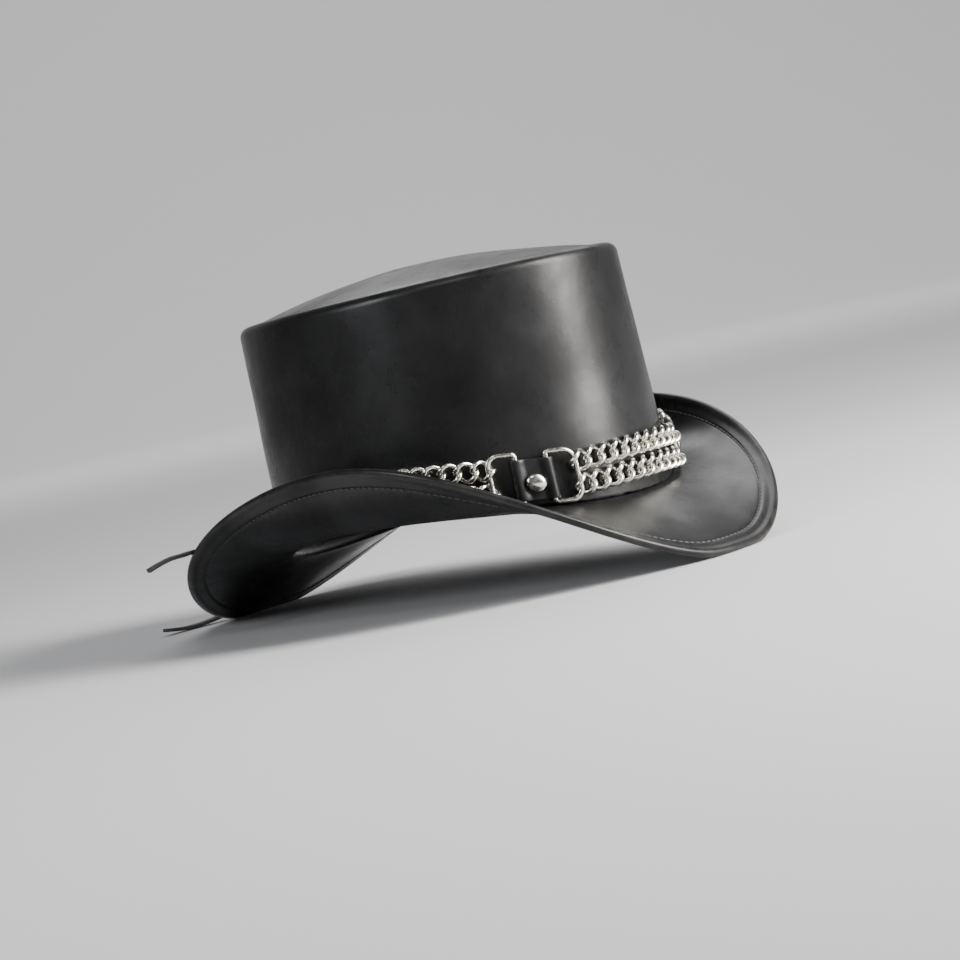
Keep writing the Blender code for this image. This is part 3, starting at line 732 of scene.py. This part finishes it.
def build_crown_top():
    """The domed disc, thickest where it tucks down into the groove."""
    inset = GROOVE_INSET + GAP
    half = np.array([TOP_LENGTH / 2 - inset, TOP_WIDTH / 2 - inset])
    seat = CROWN_HEIGHT - DISC_WALL - GROOVE_DEPTH * 0.5
    points, wear = [], []
    shares = np.linspace(0.04, 0.97, 24)
    for angle in turns(ROUND_FACETS):
        for share in shares:
            place = oval(angle, *(half * share))
            uneven = 0.0006 * noise.noise(Vector((place[0] * 28, place[1] * 28, 9.0))) * (1 - share**4)
            height = seat + DISC_WALL + DOME_RISE * (1 - share**2) + uneven
            points.append((*place, height))
            wear.append(0.0)
        for turn in np.radians((60, 30, 0)):
            size = half - 0.0009 * (1 - cos(turn))
            points.append((*oval(angle, *size), seat + DISC_WALL - 0.0012 + 0.0009 * sin(turn)))
            wear.append(0.35)
        points.append((*oval(angle, *half), seat))
        wear.append(0.3)
        for share in shares[::-1]:
            under = min(share, 0.885)
            height = seat + DOME_RISE * (1 - under**2) * smooth_step((0.91 - share) / 0.06)
            points.append((*oval(angle, *(half * share)), height if share < 0.90 else seat))
            wear.append(0.0)
    columns = len(points) // ROUND_FACETS
    faces = grid_faces(ROUND_FACETS, columns, close_columns=False)
    rings = ([i * columns for i in range(ROUND_FACETS)],
             [i * columns + columns - 1 for i in range(ROUND_FACETS)])
    for ring, height in zip(rings, (seat + DISC_WALL + DOME_RISE, seat + DOME_RISE)):
        points.append((0.0, 0.0, height))
        wear.append(0.0)
        last = len(points) - 1
        faces += [(ring[i], ring[(i + 1) % ROUND_FACETS], last) for i in range(ROUND_FACETS)]
    add_piece("crown_top_leather", "crown_top", rested(points), faces, "waxed_hat_leather", wear)


def build_brim():
    """The brim's wall, with its collar, folded border, stitched groove and rounded rim."""
    points, wear = [], []
    for angle in turns(ROUND_FACETS):
        section, values = brim_section(angle)
        points += [(*brim_place(angle, reach), height) for reach, height in section]
        wear += values
    columns = len(points) // ROUND_FACETS
    points = rested(points)
    points[:, 2] = np.maximum(points[:, 2], 0.0)
    faces = grid_faces(ROUND_FACETS, columns)
    add_piece("brim_leather", "brim", points, faces, "waxed_hat_leather", wear)


def capsule(middle, along, up, length, radius, sides=8, rings=6):
    """A short rounded thread at middle: (points, faces)."""
    along = along / np.linalg.norm(along)
    side = np.cross(along, up)
    side /= np.linalg.norm(side)
    up = np.cross(side, along)
    points = []
    for i in range(1, rings + 1):
        turn = pi * i / (rings + 1)
        size = radius * sin(turn) ** 0.5
        for t in turns(sides):
            points.append(middle - along * cos(turn) * length / 2
                          + size * (cos(t) * side + sin(t) * up * 0.8))
    faces = grid_faces(rings, sides, close_rows=False)
    return points, faces + end_faces(rings, sides)


def stitch_line(sign):
    """Points and normals along the stitched groove, on the upper face (1) or the lower one (-1)."""
    places, ups = [], []
    for angle in turns(STITCH_PLACES):
        line = brim_line(angle, 40)
        point, normal, total = at_lengths(line, [BORDER_WIDTH])
        half = brim_half_wall([BORDER_WIDTH])[0]
        swing = brim_waves(angle, 1 - BORDER_WIDTH / total)
        reach, height = point[0] + normal[0] * (swing + sign * (half + 0.0001))
        places.append((*brim_place(angle, reach), height))
        reach, height = point[0] + normal[0] * (swing + sign * (half + 0.0011))
        ups.append((*brim_place(angle, reach), height))
    places = rested(places)
    return places, rested(ups) - places


def build_stitches():
    """One row of stitches in the groove on each face of the brim."""
    look = bpy.context.scene.top_hat.stitching
    for name, sign in (("upper_stitches", 1), ("lower_stitches", -1)):
        places, ups = stitch_line(sign)
        closed = np.vstack([places, places[:1]])
        run = run_along(closed)
        count = round(run[-1] / look.pitch)
        whole = [], []
        ups = np.vstack([ups, ups[:1]])
        for i in range(count):
            at = run[-1] * (i + 0.5) / count
            here, before, after = [picked(s % run[-1], run, closed)
                                   for s in (at, at - STITCH_STEP, at + STITCH_STEP)]
            up = picked(at, run, ups)
            slant = np.cross(after - before, up) * STITCH_SLANT / np.linalg.norm(up)
            merge(whole, capsule(here, after - before + slant, up, look.length, look.thickness / 2))
        add_piece(name, "", *whole, "waxed_thread")


def bar_out():
    """How far a D-ring's bar stands from the crown."""
    return GAP + STRAP_WALL + GAP + RING_WIRE / 2


def ring_path(middle, away, rise=0.0):
    """A D-ring's path: its straight bar at middle, its round end RING_DEPTH further, towards away."""
    half = RING_HEIGHT / 2 - RING_WIRE / 2
    path = []
    for centre, corner, first in (
        ((RING_DEPTH - RING_CORNER, half - RING_CORNER), RING_CORNER, 90),
        ((RING_DEPTH - RING_CORNER, -half + RING_CORNER), RING_CORNER, 0),
        ((BAR_CORNER, -half + BAR_CORNER), BAR_CORNER, -90),
        ((BAR_CORNER, half - BAR_CORNER), BAR_CORNER, -180),
    ):
        for turn in np.radians(np.linspace(first, first - 90, 10)):
            depth = centre[0] + corner * cos(turn)
            up = rise + centre[1] + corner * sin(turn)
            out = bar_out() + RING_TILT * depth / RING_DEPTH
            path.append((middle + away * depth, out, up))
    return path


def tab_bar():
    """How far each bar lies from the middle of its tab."""
    return TAB_WIDTH / 2 - STRAP_WALL - GAP - RING_WIRE / 2


def tab_dip(share):
    """How far the tab's outer layer lies in from the bulges over its bars, -1 to 1 across."""
    return STRAP_DIP * smooth_step((1 - abs(share)) / 0.6)


def tab_outline(middle):
    """The tab's strap, folded round two bars: points, each with a 1 where it can be pressed in."""
    bar = tab_bar()
    radius = RING_WIRE / 2 + GAP + STRAP_WALL / 2
    out = bar_out()
    outline = [(middle + share * bar, out - radius, 0.0) for share in np.linspace(-0.9, 0.9, 10)]
    for turn in np.radians(np.linspace(-90, 90, 15)):
        outline.append((middle + bar + radius * cos(turn), out + radius * sin(turn), 0.0))
    for share in np.linspace(0.94, -0.94, 32):
        outline.append((middle + share * bar, out + radius - tab_dip(share), 1.0))
    for turn in np.radians(np.linspace(90, 270, 15)):
        outline.append((middle - bar + radius * cos(turn), out + radius * sin(turn), 0.0))
    return outline


def strap_section(height, wall, rows=12):
    """The rounded outline of a strap's cross-section: (across the wall, up, wear) points."""
    corner = min(0.00035, wall * 0.4)
    half, top = wall / 2, height / 2
    section = []
    for sign_wall, sign_up, first in ((1, -1, -90), (1, 1, 0), (-1, 1, 90), (-1, -1, 180)):
        for turn in np.radians((first, first + 45, first + 90)):
            section.append((sign_wall * (half - corner) + corner * cos(turn),
                            sign_up * (top - corner) + corner * sin(turn), 1.0))
        if sign_up < 0 and sign_wall > 0:
            section += [(half, u, 0.0) for u in np.linspace(-top, top, rows)[1:-1]]
        if sign_up > 0 and sign_wall < 0:
            section += [(-half, u, 0.0) for u in np.linspace(top, -top, rows)[1:-1]]
    return section


def strap_mesh(outline, height, wall, dent=None, drop=0.0):
    """Points, faces and wear of a closed strap along an outline of (round, out, outer layer) points."""
    line = np.array(outline)
    along = along_path(line[:, :2], True)
    side = np.stack([along[:, 1], -along[:, 0]], 1)
    section = strap_section(height, wall)
    points, wear = [], []
    for middle, away in zip(line, side):
        for across, up, worn in section:
            place = middle[:2] + away * across
            out = place[1]
            if dent and middle[2]:
                out -= dent(place[0], up)
            points.append((place[0], out, up - drop))
            wear.append(worn * 0.9)
    return points, grid_faces(len(line), len(section)), wear


def build_tabs():
    """The two tabs, pulled in round their rivets."""
    for side, sign in SIDES:
        middle = sign * run_at(TAB_ANGLE)

        def pull(run, up, middle=middle):
            """How far the rivet pulls the outer layer in, with a crease above it."""
            distance = hypot(run - middle, up + RIVET_DROP - TAB_DROP)
            crease = exp(-((run - middle) / 0.0035) ** 2 - ((up - 0.0062) / 0.0018) ** 2)
            flare = 0.0004 * cos((run - middle) / 0.004) * smooth_step((abs(up) - 0.006) / 0.004)
            return 0.00045 * exp(-(distance / 0.0056) ** 2) + 0.0004 * crease - flare * 0.4

        points, faces, wear = strap_mesh(tab_outline(middle), TAB_HEIGHT, STRAP_WALL, pull, TAB_DROP)
        add_piece(side + "_tab_leather", side + "_tab", bend(points), faces, "band_leather", wear)


def build_rivets():
    """A domed rivet through each tab, with a washer inside the crown."""
    sides = 48
    for side, sign in SIDES:
        middle = sign * run_at(TAB_ANGLE)
        dip = tab_dip(RIVET_DIAMETER / 2 / tab_bar())
        front = bar_out() + RING_WIRE / 2 + GAP + STRAP_WALL - dip + GAP
        radius = RIVET_DIAMETER / 2
        profile = [(radius * cos(t), front + 0.0004 + (RIVET_DOME - 0.0001) * sin(t))
                   for t in np.radians((88, 80, 70, 60, 50, 40, 30, 20, 10, 0))]
        profile += [(radius - 0.0001, front + 0.0001), (radius - EDGE_ROUND, front)]
        profile.append((RIVET_SHANK / 2, front))
        inside = -CROWN_WALL - GAP
        washer = WASHER_DIAMETER / 2
        profile += [(RIVET_SHANK / 2, inside), (washer - 0.0002, inside), (washer, inside - 0.0002)]
        profile += [(washer, inside - WASHER_WALL + 0.0002), (washer - 0.0002, inside - WASHER_WALL)]
        flat = [(middle + size * cos(t), out, size * sin(t) - RIVET_DROP)
                for size, out in profile for t in turns(sides)]
        faces = grid_faces(len(profile), sides, close_rows=False) + end_faces(len(profile), sides)
        add_piece(side + "_rivet_head", side + "_rivet", bend(flat), faces, "warm_nickel")


def rear_bar():
    """Where a rear D-ring's bar stands, round the band."""
    return run_at(REAR_RING_ANGLE) + RING_DEPTH


def build_rings():
    """The six D-rings of bent wire."""
    for side, sign in SIDES:
        middle = sign * run_at(TAB_ANGLE)
        paths = {
            "front": ring_path(middle - sign * tab_bar(), -sign),
            "side": ring_path(middle + sign * tab_bar(), sign),
            "rear": ring_path(sign * rear_bar(), -sign, REAR_RING_RISE),
        }
        for place, path in paths.items():
            points, faces = swept(path, RING_WIRE / 2, 16)
            name = side + "_" + place + "_ring"
            add_piece(name + "_wire", name, bend(points), faces, "warm_nickel")


def strand_place(run, start, end, up, rise):
    """Where the middle of a strand runs between two D-rings, as (out, up)."""
    share = (2 * run - start - end) / (end - start)
    out = bar_out() + RING_TILT - CHAIN_DIP * (1 - min(share**2, 1.0)) ** 2
    return out, up + rise * (1 - share**2)


def link_path(middle, half_length, strand, lean, twist):
    """One link: an oval of wire, leaning about the strand's line and twisted along it."""
    half_height = (LINK_HEIGHT - LINK_WIRE) / 2
    path = []
    for turn in turns(LINK_FACETS):
        angle = radians(lean + twist * cos(turn))
        rise = half_height * sin(turn)
        run = middle + half_length * cos(turn)
        out, up = strand_place(run, *strand)
        path.append((run, out + rise * sin(angle), up + rise * cos(angle)))
    return path


def strand_links(start, end, up, rise):
    """The paths of a strand's links from one D-ring to the next, each link just touching the next."""
    grip = LINK_WIRE / 2 + RING_WIRE / 2 + GAP
    span = end - start + 2 * grip - LINK_WIRE
    count = round(span / LINK_PITCH)
    pitch = span / count
    half_length = (pitch + LINK_WIRE) / 2
    first = start - grip + half_length
    links = []
    for i in range(count):
        lean, twist = 0, LINK_TWIST
        if i == 0:
            lean, twist = END_LINK_LEAN, END_LINK_TWIST
        if i == count - 1:
            lean, twist = -END_LINK_LEAN, END_LINK_TWIST
        uneven = 3.5 * noise.noise(Vector((i * 0.7, up * 900, start * 40)))
        middle = first + i * pitch
        links.append(link_path(middle, half_length, (start, end, up, rise), lean + uneven, twist))
    return links


def build_strand(name, start, end, up, rise):
    """One strand of curb chain."""
    points, faces = [], []
    for path in strand_links(start, end, up, rise):
        merge((points, faces), swept(path, LINK_WIRE / 2, 12))
    add_piece(name + "_links", name, bend(points), faces, "warm_nickel")


def build_chains():
    """The double chain across the front and along each side."""
    outer_bar = run_at(TAB_ANGLE) + tab_bar() + RING_DEPTH
    front_bar = run_at(TAB_ANGLE) - tab_bar() - RING_DEPTH
    for level, sign_up in (("upper", 1), ("lower", -1)):
        up = sign_up * STRAND_SPACING / 2
        build_strand("front_" + level + "_chain", -front_bar, front_bar, up, CHAIN_RISE)
        for side, sign in SIDES:
            ends = sorted((sign * outer_bar, sign * (rear_bar() - RING_DEPTH)))
            build_strand(side + "_" + level + "_chain", *ends, up, 0.0)


def build_lace_loops():
    """The lace from each rear D-ring to the knot, folded round the ring's bar."""
    radius = RING_WIRE / 2 + GAP + STRAP_WALL / 2
    inner = GAP + STRAP_WALL / 2
    outer = inner + STRAP_WALL + GAP
    bar = rear_bar()
    knot = run_at(180) - KNOT_LENGTH / 2 - GAP - STRAP_WALL
    for side, sign in SIDES:
        runs = np.linspace(bar + 0.006, knot, 60)
        outline = [(bar, bar_out() - radius, 0.0), (bar + 0.002, bar_out() - radius, 0.0)]
        outline += [(run, inner, 0.0) for run in runs]
        middle = (inner + outer) / 2
        for turn in np.radians((-60, -20, 20, 60)):
            half = (outer - inner) / 2
            outline.append((knot + half * cos(turn), middle + half * sin(turn), 0.0))
        outline += [(run, outer + 0.0004 * sin(run * 210) ** 2 * (run < knot - 0.01), 0.0)
                    for run in runs[::-1]]
        for turn in np.radians(np.linspace(95, 262, 14)):
            outline.append((bar + radius * cos(turn), bar_out() + radius * sin(turn), 0.0))
        if sign < 0:
            outline = [(-run, out, layer) for run, out, layer in outline][::-1]
        points, faces, wear = strap_mesh(outline, LACE_WIDTH, STRAP_WALL)
        add_piece(side + "_lace_band", side + "_lace_loop", bend(points), faces,
                  "cut_lace_leather", wear)


def ribbon(path, across, width, thickness, closed):
    """Points, faces and wear of a flat ribbon along path, its width lying along across."""
    path = np.array(path)
    across = np.array(across)
    along = along_path(path, closed)
    across = unit(across - along * (across * along).sum(1)[:, None])
    up = np.cross(along, across)
    section = strap_section(width, thickness, 6)
    points, wear = [], []
    for i in range(len(path)):
        for off, wide, worn in section:
            points.append(path[i] + up[i] * off + across[i] * wide)
            wear.append(worn)
    faces = grid_faces(len(path), len(section), close_rows=closed)
    if not closed:
        faces += end_faces(len(path), len(section))
    return points, faces, wear


def build_knot():
    """The knot: the two bights of the lace, and the turn that draws them together."""
    middle = run_at(180)
    core = GAP + KNOT_DEPTH / 2
    whole = [], [], []
    round_knot = turns(KNOT_PLACES)
    wrap = [(middle + 0.0006 * sin(t), core + (KNOT_DEPTH - KNOT_LACE) / 2 * cos(t),
             (KNOT_HEIGHT - KNOT_LACE) / 2 * sin(t)) for t in round_knot]
    merge(whole, ribbon(wrap, [(1.0, 0.0, 0.10)] * KNOT_PLACES, WRAP_WIDTH, KNOT_LACE, True))
    for sign in (1, -1):
        bight = [(middle + sign * (0.0028 + 0.0039 * cos(t)), core - 0.0004 + 0.0029 * sin(t),
                  sign * 0.0010 * sin(t)) for t in round_knot]
        merge(whole, ribbon(bight, [(0.0, 0.0, 1.0)] * KNOT_PLACES, BIGHT_WIDTH, KNOT_LACE, True))
    points, faces, wear = whole
    add_piece("lace_knot_leather", "lace_knot", bend(points), faces, "cut_lace_leather", wear)


def brim_point(toward, way, lift):
    """A point over the brim, or past its edge, for the lace to run through."""
    angle = atan2(BASE_LENGTH * sin(toward), BASE_WIDTH * cos(toward))
    line = brim_line(angle)
    _, _, total = at_lengths(line, [0])
    point, normal, _ = at_lengths(line, [total * (1 - min(way, 1.0))])
    if way <= 1:
        half = np.interp(way * total, (total - BORDER_WIDTH, total), (BRIM_WALL / 2, RIM_THICKNESS / 2))
        reach, height = point[0] + normal[0] * (half + lift)
    else:
        reach, height = point[0] + np.array([(way - 1) * total, lift])
    world = REST @ Vector((*brim_place(angle, reach), height))
    world.z = max(world.z, LACE_THICKNESS / 2 + GAP)
    return np.array(world)


def smooth_route(rows, count):
    """Evenly spaced points on a smooth curve through the lace's own points."""
    points = np.array([brim_point(radians(angle), way, lift) for angle, way, lift in rows])
    padded = np.vstack([2 * points[0] - points[1], points, 2 * points[-1] - points[-2]])
    curve = []
    for i in range(1, len(padded) - 2):
        a, b, c, d = padded[i - 1 : i + 3]
        for t in np.linspace(0, 1, 8, endpoint=False):
            curve.append(
                0.5 * (2 * b + (c - a) * t + (2 * a - 5 * b + 4 * c - d) * t**2
                       + (3 * b - 3 * c + d - a) * t**3)
            )
    curve.append(points[-1])
    curve = np.array(curve)
    run = run_along(curve)
    wanted = np.linspace(0, run[-1], count)
    return picked(wanted, run, curve), run[-1]


def build_lace_ends():
    """The two free ends of the lace, cut square, lying on the brim and over its edge."""
    for name, rows in (("right_lace_end", RIGHT_LACE), ("left_lace_end", LEFT_LACE)):
        path, length = smooth_route(rows, LACE_PLACES)
        raised, _ = smooth_route([(a, min(w, 1.0), h + LACE_UPWARD) for a, w, h in rows], LACE_PLACES)
        flat_way = np.gradient(path, axis=0)
        level = np.array((0.0, 0.0, 1.0))
        on_brim = raised - path
        on_brim[path[:, 2] < FLOOR_REACH] = level
        share = smooth_step((np.arange(LACE_PLACES) - LEVEL_FROM) / LEVEL_WITHIN)[:, None]
        ups = unit(on_brim) * (1 - share) + level * share
        across = np.cross(flat_way, ups)
        points, faces, wear = ribbon(path, across, LACE_WIDTH, LACE_THICKNESS * 0.9, False)
        points = np.array(points)
        points[:, 2] = np.maximum(points[:, 2], 0.0001)
        piece = add_piece(name + "_leather", name, points, faces, "cut_lace_leather", wear)


def direction(azimuth, elevation):
    """The way out from the hat at these angles in degrees, from its front and from the floor."""
    turn, rise = radians(azimuth), radians(elevation)
    return Vector((sin(turn) * cos(rise), -cos(turn) * cos(rise), sin(rise)))


def add_light(name, azimuth, elevation, distance, size, power, aim, colour=(1.0, 1.0, 1.0)):
    """A soft square light round the hat, at an azimuth like the camera's."""
    light = bpy.data.lights.new(name, "AREA")
    light.shape = "RECTANGLE"
    light.size, light.size_y = size
    light.energy = power
    light.color = colour
    lamp = bpy.data.objects.new(name, light)
    away = direction(azimuth, elevation)
    lamp.location = Vector(aim) + away * distance
    lamp.rotation_euler = away.to_track_quat("Z", "Y").to_euler()
    bpy.context.scene.collection.objects.link(lamp)


def build_stage():
    """A pale round floor that sweeps up into a wall, soft lights, and the camera."""
    look = bpy.context.scene.top_hat.stage
    flat, wall, sides = look.floor_radius, look.floor_radius * 0.5, 96
    profile = [(flat * share, 0.0) for share in (0.02, 0.2, 0.5, 1.0)]
    profile += [(flat + wall * sin(t), wall * (1 - cos(t)))
                for t in np.radians(np.arange(10, 91, 10))]
    profile.append((flat + wall, wall * 2.2))
    points = [(r * cos(t), r * sin(t), z) for r, z in profile for t in turns(sides)]
    faces = grid_faces(len(profile), sides, close_rows=False)
    faces.append(tuple(range(sides)))
    mesh = bpy.data.meshes.new("studio_sweep")
    mesh.from_pydata(points, [], faces)
    mesh.shade_smooth()
    mesh.materials.append(studio_finish("pale_paper", tuple(look.colour)))
    floor = bpy.data.objects.new("studio_sweep", mesh)
    floor.location.z = -0.0002
    bpy.context.scene.collection.objects.link(floor)
    world = bpy.data.worlds.new("studio_air")
    world.use_nodes = True
    world.node_tree.nodes["Background"].inputs[0].default_value = (0.80, 0.82, 0.85, 1.0)
    world.node_tree.nodes["Background"].inputs[1].default_value = look.ambient
    bpy.context.scene.world = world
    aim = (0.0, 0.0, 0.09)
    power = look.light
    add_light("front_softbox", 18, 24, 1.3, (0.40, 1.0), 64 * power, aim, (1.0, 0.98, 0.95))
    add_light("side_softbox", -104, 26, 1.7, (0.30, 0.7), 9 * power, aim, (0.94, 0.97, 1.0))
    add_light("overhead_softbox", 118, 48, 1.8, (1.4, 0.8), 13 * power, aim)
    add_light("camera_fill", -60, 52, 2.4, (0.7, 0.7), 6 * power, aim)
    add_light("backdrop_softbox", CAMERA_AZIMUTH, 40, 3.0, (3.0, 1.0), 105 * power, WALL_AIM)
    camera = bpy.data.cameras.new("photo_camera")
    camera.lens = CAMERA_LENS
    camera.sensor_width = 36.0
    camera.clip_end = 50.0
    roll = radians(CAMERA_ROLL)
    back = direction(CAMERA_AZIMUTH, CAMERA_ELEVATION)
    level = (-back).cross(Vector((0, 0, 1))).normalized()
    upright = level.cross(-back)
    right = level * cos(roll) + upright * sin(roll)
    up = upright * cos(roll) - level * sin(roll)
    stand = Matrix((right, up, back)).transposed().to_4x4()
    stand.translation = Vector((0, 0, CAMERA_AIM)) + back * CAMERA_DISTANCE
    stand.translation += right * CAMERA_RIGHT - up * CAMERA_DOWN
    viewer = bpy.data.objects.new("photo_camera", camera)
    viewer.matrix_world = REST @ stand
    bpy.context.scene.collection.objects.link(viewer)
    bpy.context.scene.camera = viewer


class LeatherLook(bpy.types.PropertyGroup):
    """How the hat's leather looks."""

    colour: FloatVectorProperty(name="Colour", description="Colour of the waxed leather",
                                subtype="COLOR", size=3, min=0.0, max=1.0, default=(0.005, 0.005, 0.0054))
    roughness: FloatProperty(name="Roughness", description="How matt the wax is", min=0.1, max=0.9,
                             default=0.36, subtype="FACTOR")
    grain: FloatProperty(name="Grain", description="Strength of the leather's grain", min=0.0, max=4.0,
                         default=1.0)


class MetalLook(bpy.types.PropertyGroup):
    """How the rings, rivets and chain look."""

    colour: FloatVectorProperty(name="Colour", description="Colour of the nickel plate",
                                subtype="COLOR", size=3, min=0.0, max=1.0, default=(0.88, 0.86, 0.77))
    roughness: FloatProperty(name="Roughness", description="How dull the plate is", min=0.05, max=0.9,
                             default=0.20, subtype="FACTOR")


class StitchLook(bpy.types.PropertyGroup):
    """The stitching round the brim."""

    pitch: FloatProperty(name="Pitch", description="From one stitch to the next", unit="LENGTH",
                         min=0.001, max=0.01, default=0.0034)
    length: FloatProperty(name="Length", description="Length of one stitch", unit="LENGTH",
                          min=0.001, max=0.01, default=0.0028)
    thickness: FloatProperty(name="Thickness", description="Thickness of the thread", unit="LENGTH",
                             min=0.0002, max=0.002, default=0.0008)


class StageLook(bpy.types.PropertyGroup):
    """The studio round the hat."""

    colour: FloatVectorProperty(name="Paper", description="Colour of the floor and wall",
                                subtype="COLOR", size=3, min=0.0, max=1.0, default=(0.58, 0.58, 0.59))
    floor_radius: FloatProperty(name="Floor radius", description="Where the floor starts to rise",
                                unit="LENGTH", min=1.0, max=20.0, default=4.0)
    light: FloatProperty(name="Light", description="Strength of the lamps",
                         min=0.0, max=10.0, default=1.0)
    ambient: FloatProperty(name="Ambient", description="Strength of the light from all round",
                           min=0.0, max=5.0, default=0.10)


class TopHatLook(bpy.types.PropertyGroup):
    """All the settings of the hat."""

    leather: PointerProperty(type=LeatherLook, name="Leather", description="The hat's leather")
    metal: PointerProperty(type=MetalLook, name="Metal", description="The rings, rivets and chain")
    stitching: PointerProperty(type=StitchLook, name="Stitching", description="The brim's stitching")
    stage: PointerProperty(type=StageLook, name="Stage", description="The studio")


class HatStep:
    """One step of the hat, which makes its pieces when it is called."""

    def execute(self, context):
        for make in self.makes:
            make()
        return {"FINISHED"}


class HAT_OT_stage(HatStep, bpy.types.Operator):
    """Make the floor, the lights and the camera"""

    bl_idname = "hat.stage"
    bl_label = "Stage"
    makes = (build_stage,)


class HAT_OT_lace(HatStep, bpy.types.Operator):
    """Make the lace: its free ends, its knot and its loops round the rear rings"""

    bl_idname = "hat.lace"
    bl_label = "Lace"
    makes = (build_lace_ends, build_knot, build_lace_loops)


class HAT_OT_crown(HatStep, bpy.types.Operator):
    """Make the crown's wall and its domed top"""

    bl_idname = "hat.crown"
    bl_label = "Crown"
    makes = (build_crown, build_crown_top)


class HAT_OT_brim(HatStep, bpy.types.Operator):
    """Make the brim and its stitching"""

    bl_idname = "hat.brim"
    bl_label = "Brim"
    makes = (build_brim, build_stitches)


class HAT_OT_tabs(HatStep, bpy.types.Operator):
    """Make the riveted tabs"""

    bl_idname = "hat.tabs"
    bl_label = "Tabs and rivets"
    makes = (build_tabs, build_rivets)


class HAT_OT_rings(HatStep, bpy.types.Operator):
    """Make the D-rings"""

    bl_idname = "hat.rings"
    bl_label = "D-rings"
    makes = (build_rings,)


class HAT_OT_chains(HatStep, bpy.types.Operator):
    """Make the strands of chain"""

    bl_idname = "hat.chains"
    bl_label = "Chains"
    makes = (build_chains,)


OPERATORS = (HAT_OT_stage, HAT_OT_lace, HAT_OT_crown, HAT_OT_brim,
             HAT_OT_tabs, HAT_OT_rings, HAT_OT_chains)


class HAT_PT_parts(bpy.types.Panel):
    """The hat's settings and pieces"""

    bl_idname = "HAT_PT_parts"
    bl_label = "Top Hat"
    bl_space_type = "VIEW_3D"
    bl_region_type = "UI"
    bl_category = "Top Hat"

    def draw(self, context):
        layout = self.layout
        look = context.scene.top_hat
        for group in (look.leather, look.metal, look.stitching, look.stage):
            box = layout.box()
            for name in group.__annotations__:
                box.prop(group, name)
        for operator in OPERATORS:
            layout.operator(operator.bl_idname)


CLASSES = (LeatherLook, MetalLook, StitchLook, StageLook, TopHatLook, *OPERATORS, HAT_PT_parts)


def register():
    for cls in CLASSES:
        bpy.utils.register_class(cls)
    bpy.types.Scene.top_hat = PointerProperty(type=TopHatLook, name="Top hat",
                                              description="The hat's settings")


def unregister():
    del bpy.types.Scene.top_hat
    for cls in reversed(CLASSES):
        bpy.utils.unregister_class(cls)


def make_hat():
    """Registers the add-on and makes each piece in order."""
    register()
    bpy.ops.hat.stage()
    bpy.ops.hat.lace()
    bpy.ops.hat.crown()
    bpy.ops.hat.brim()
    bpy.ops.hat.tabs()
    bpy.ops.hat.rings()
    bpy.ops.hat.chains()


if __name__ == "__main__":
    make_hat()
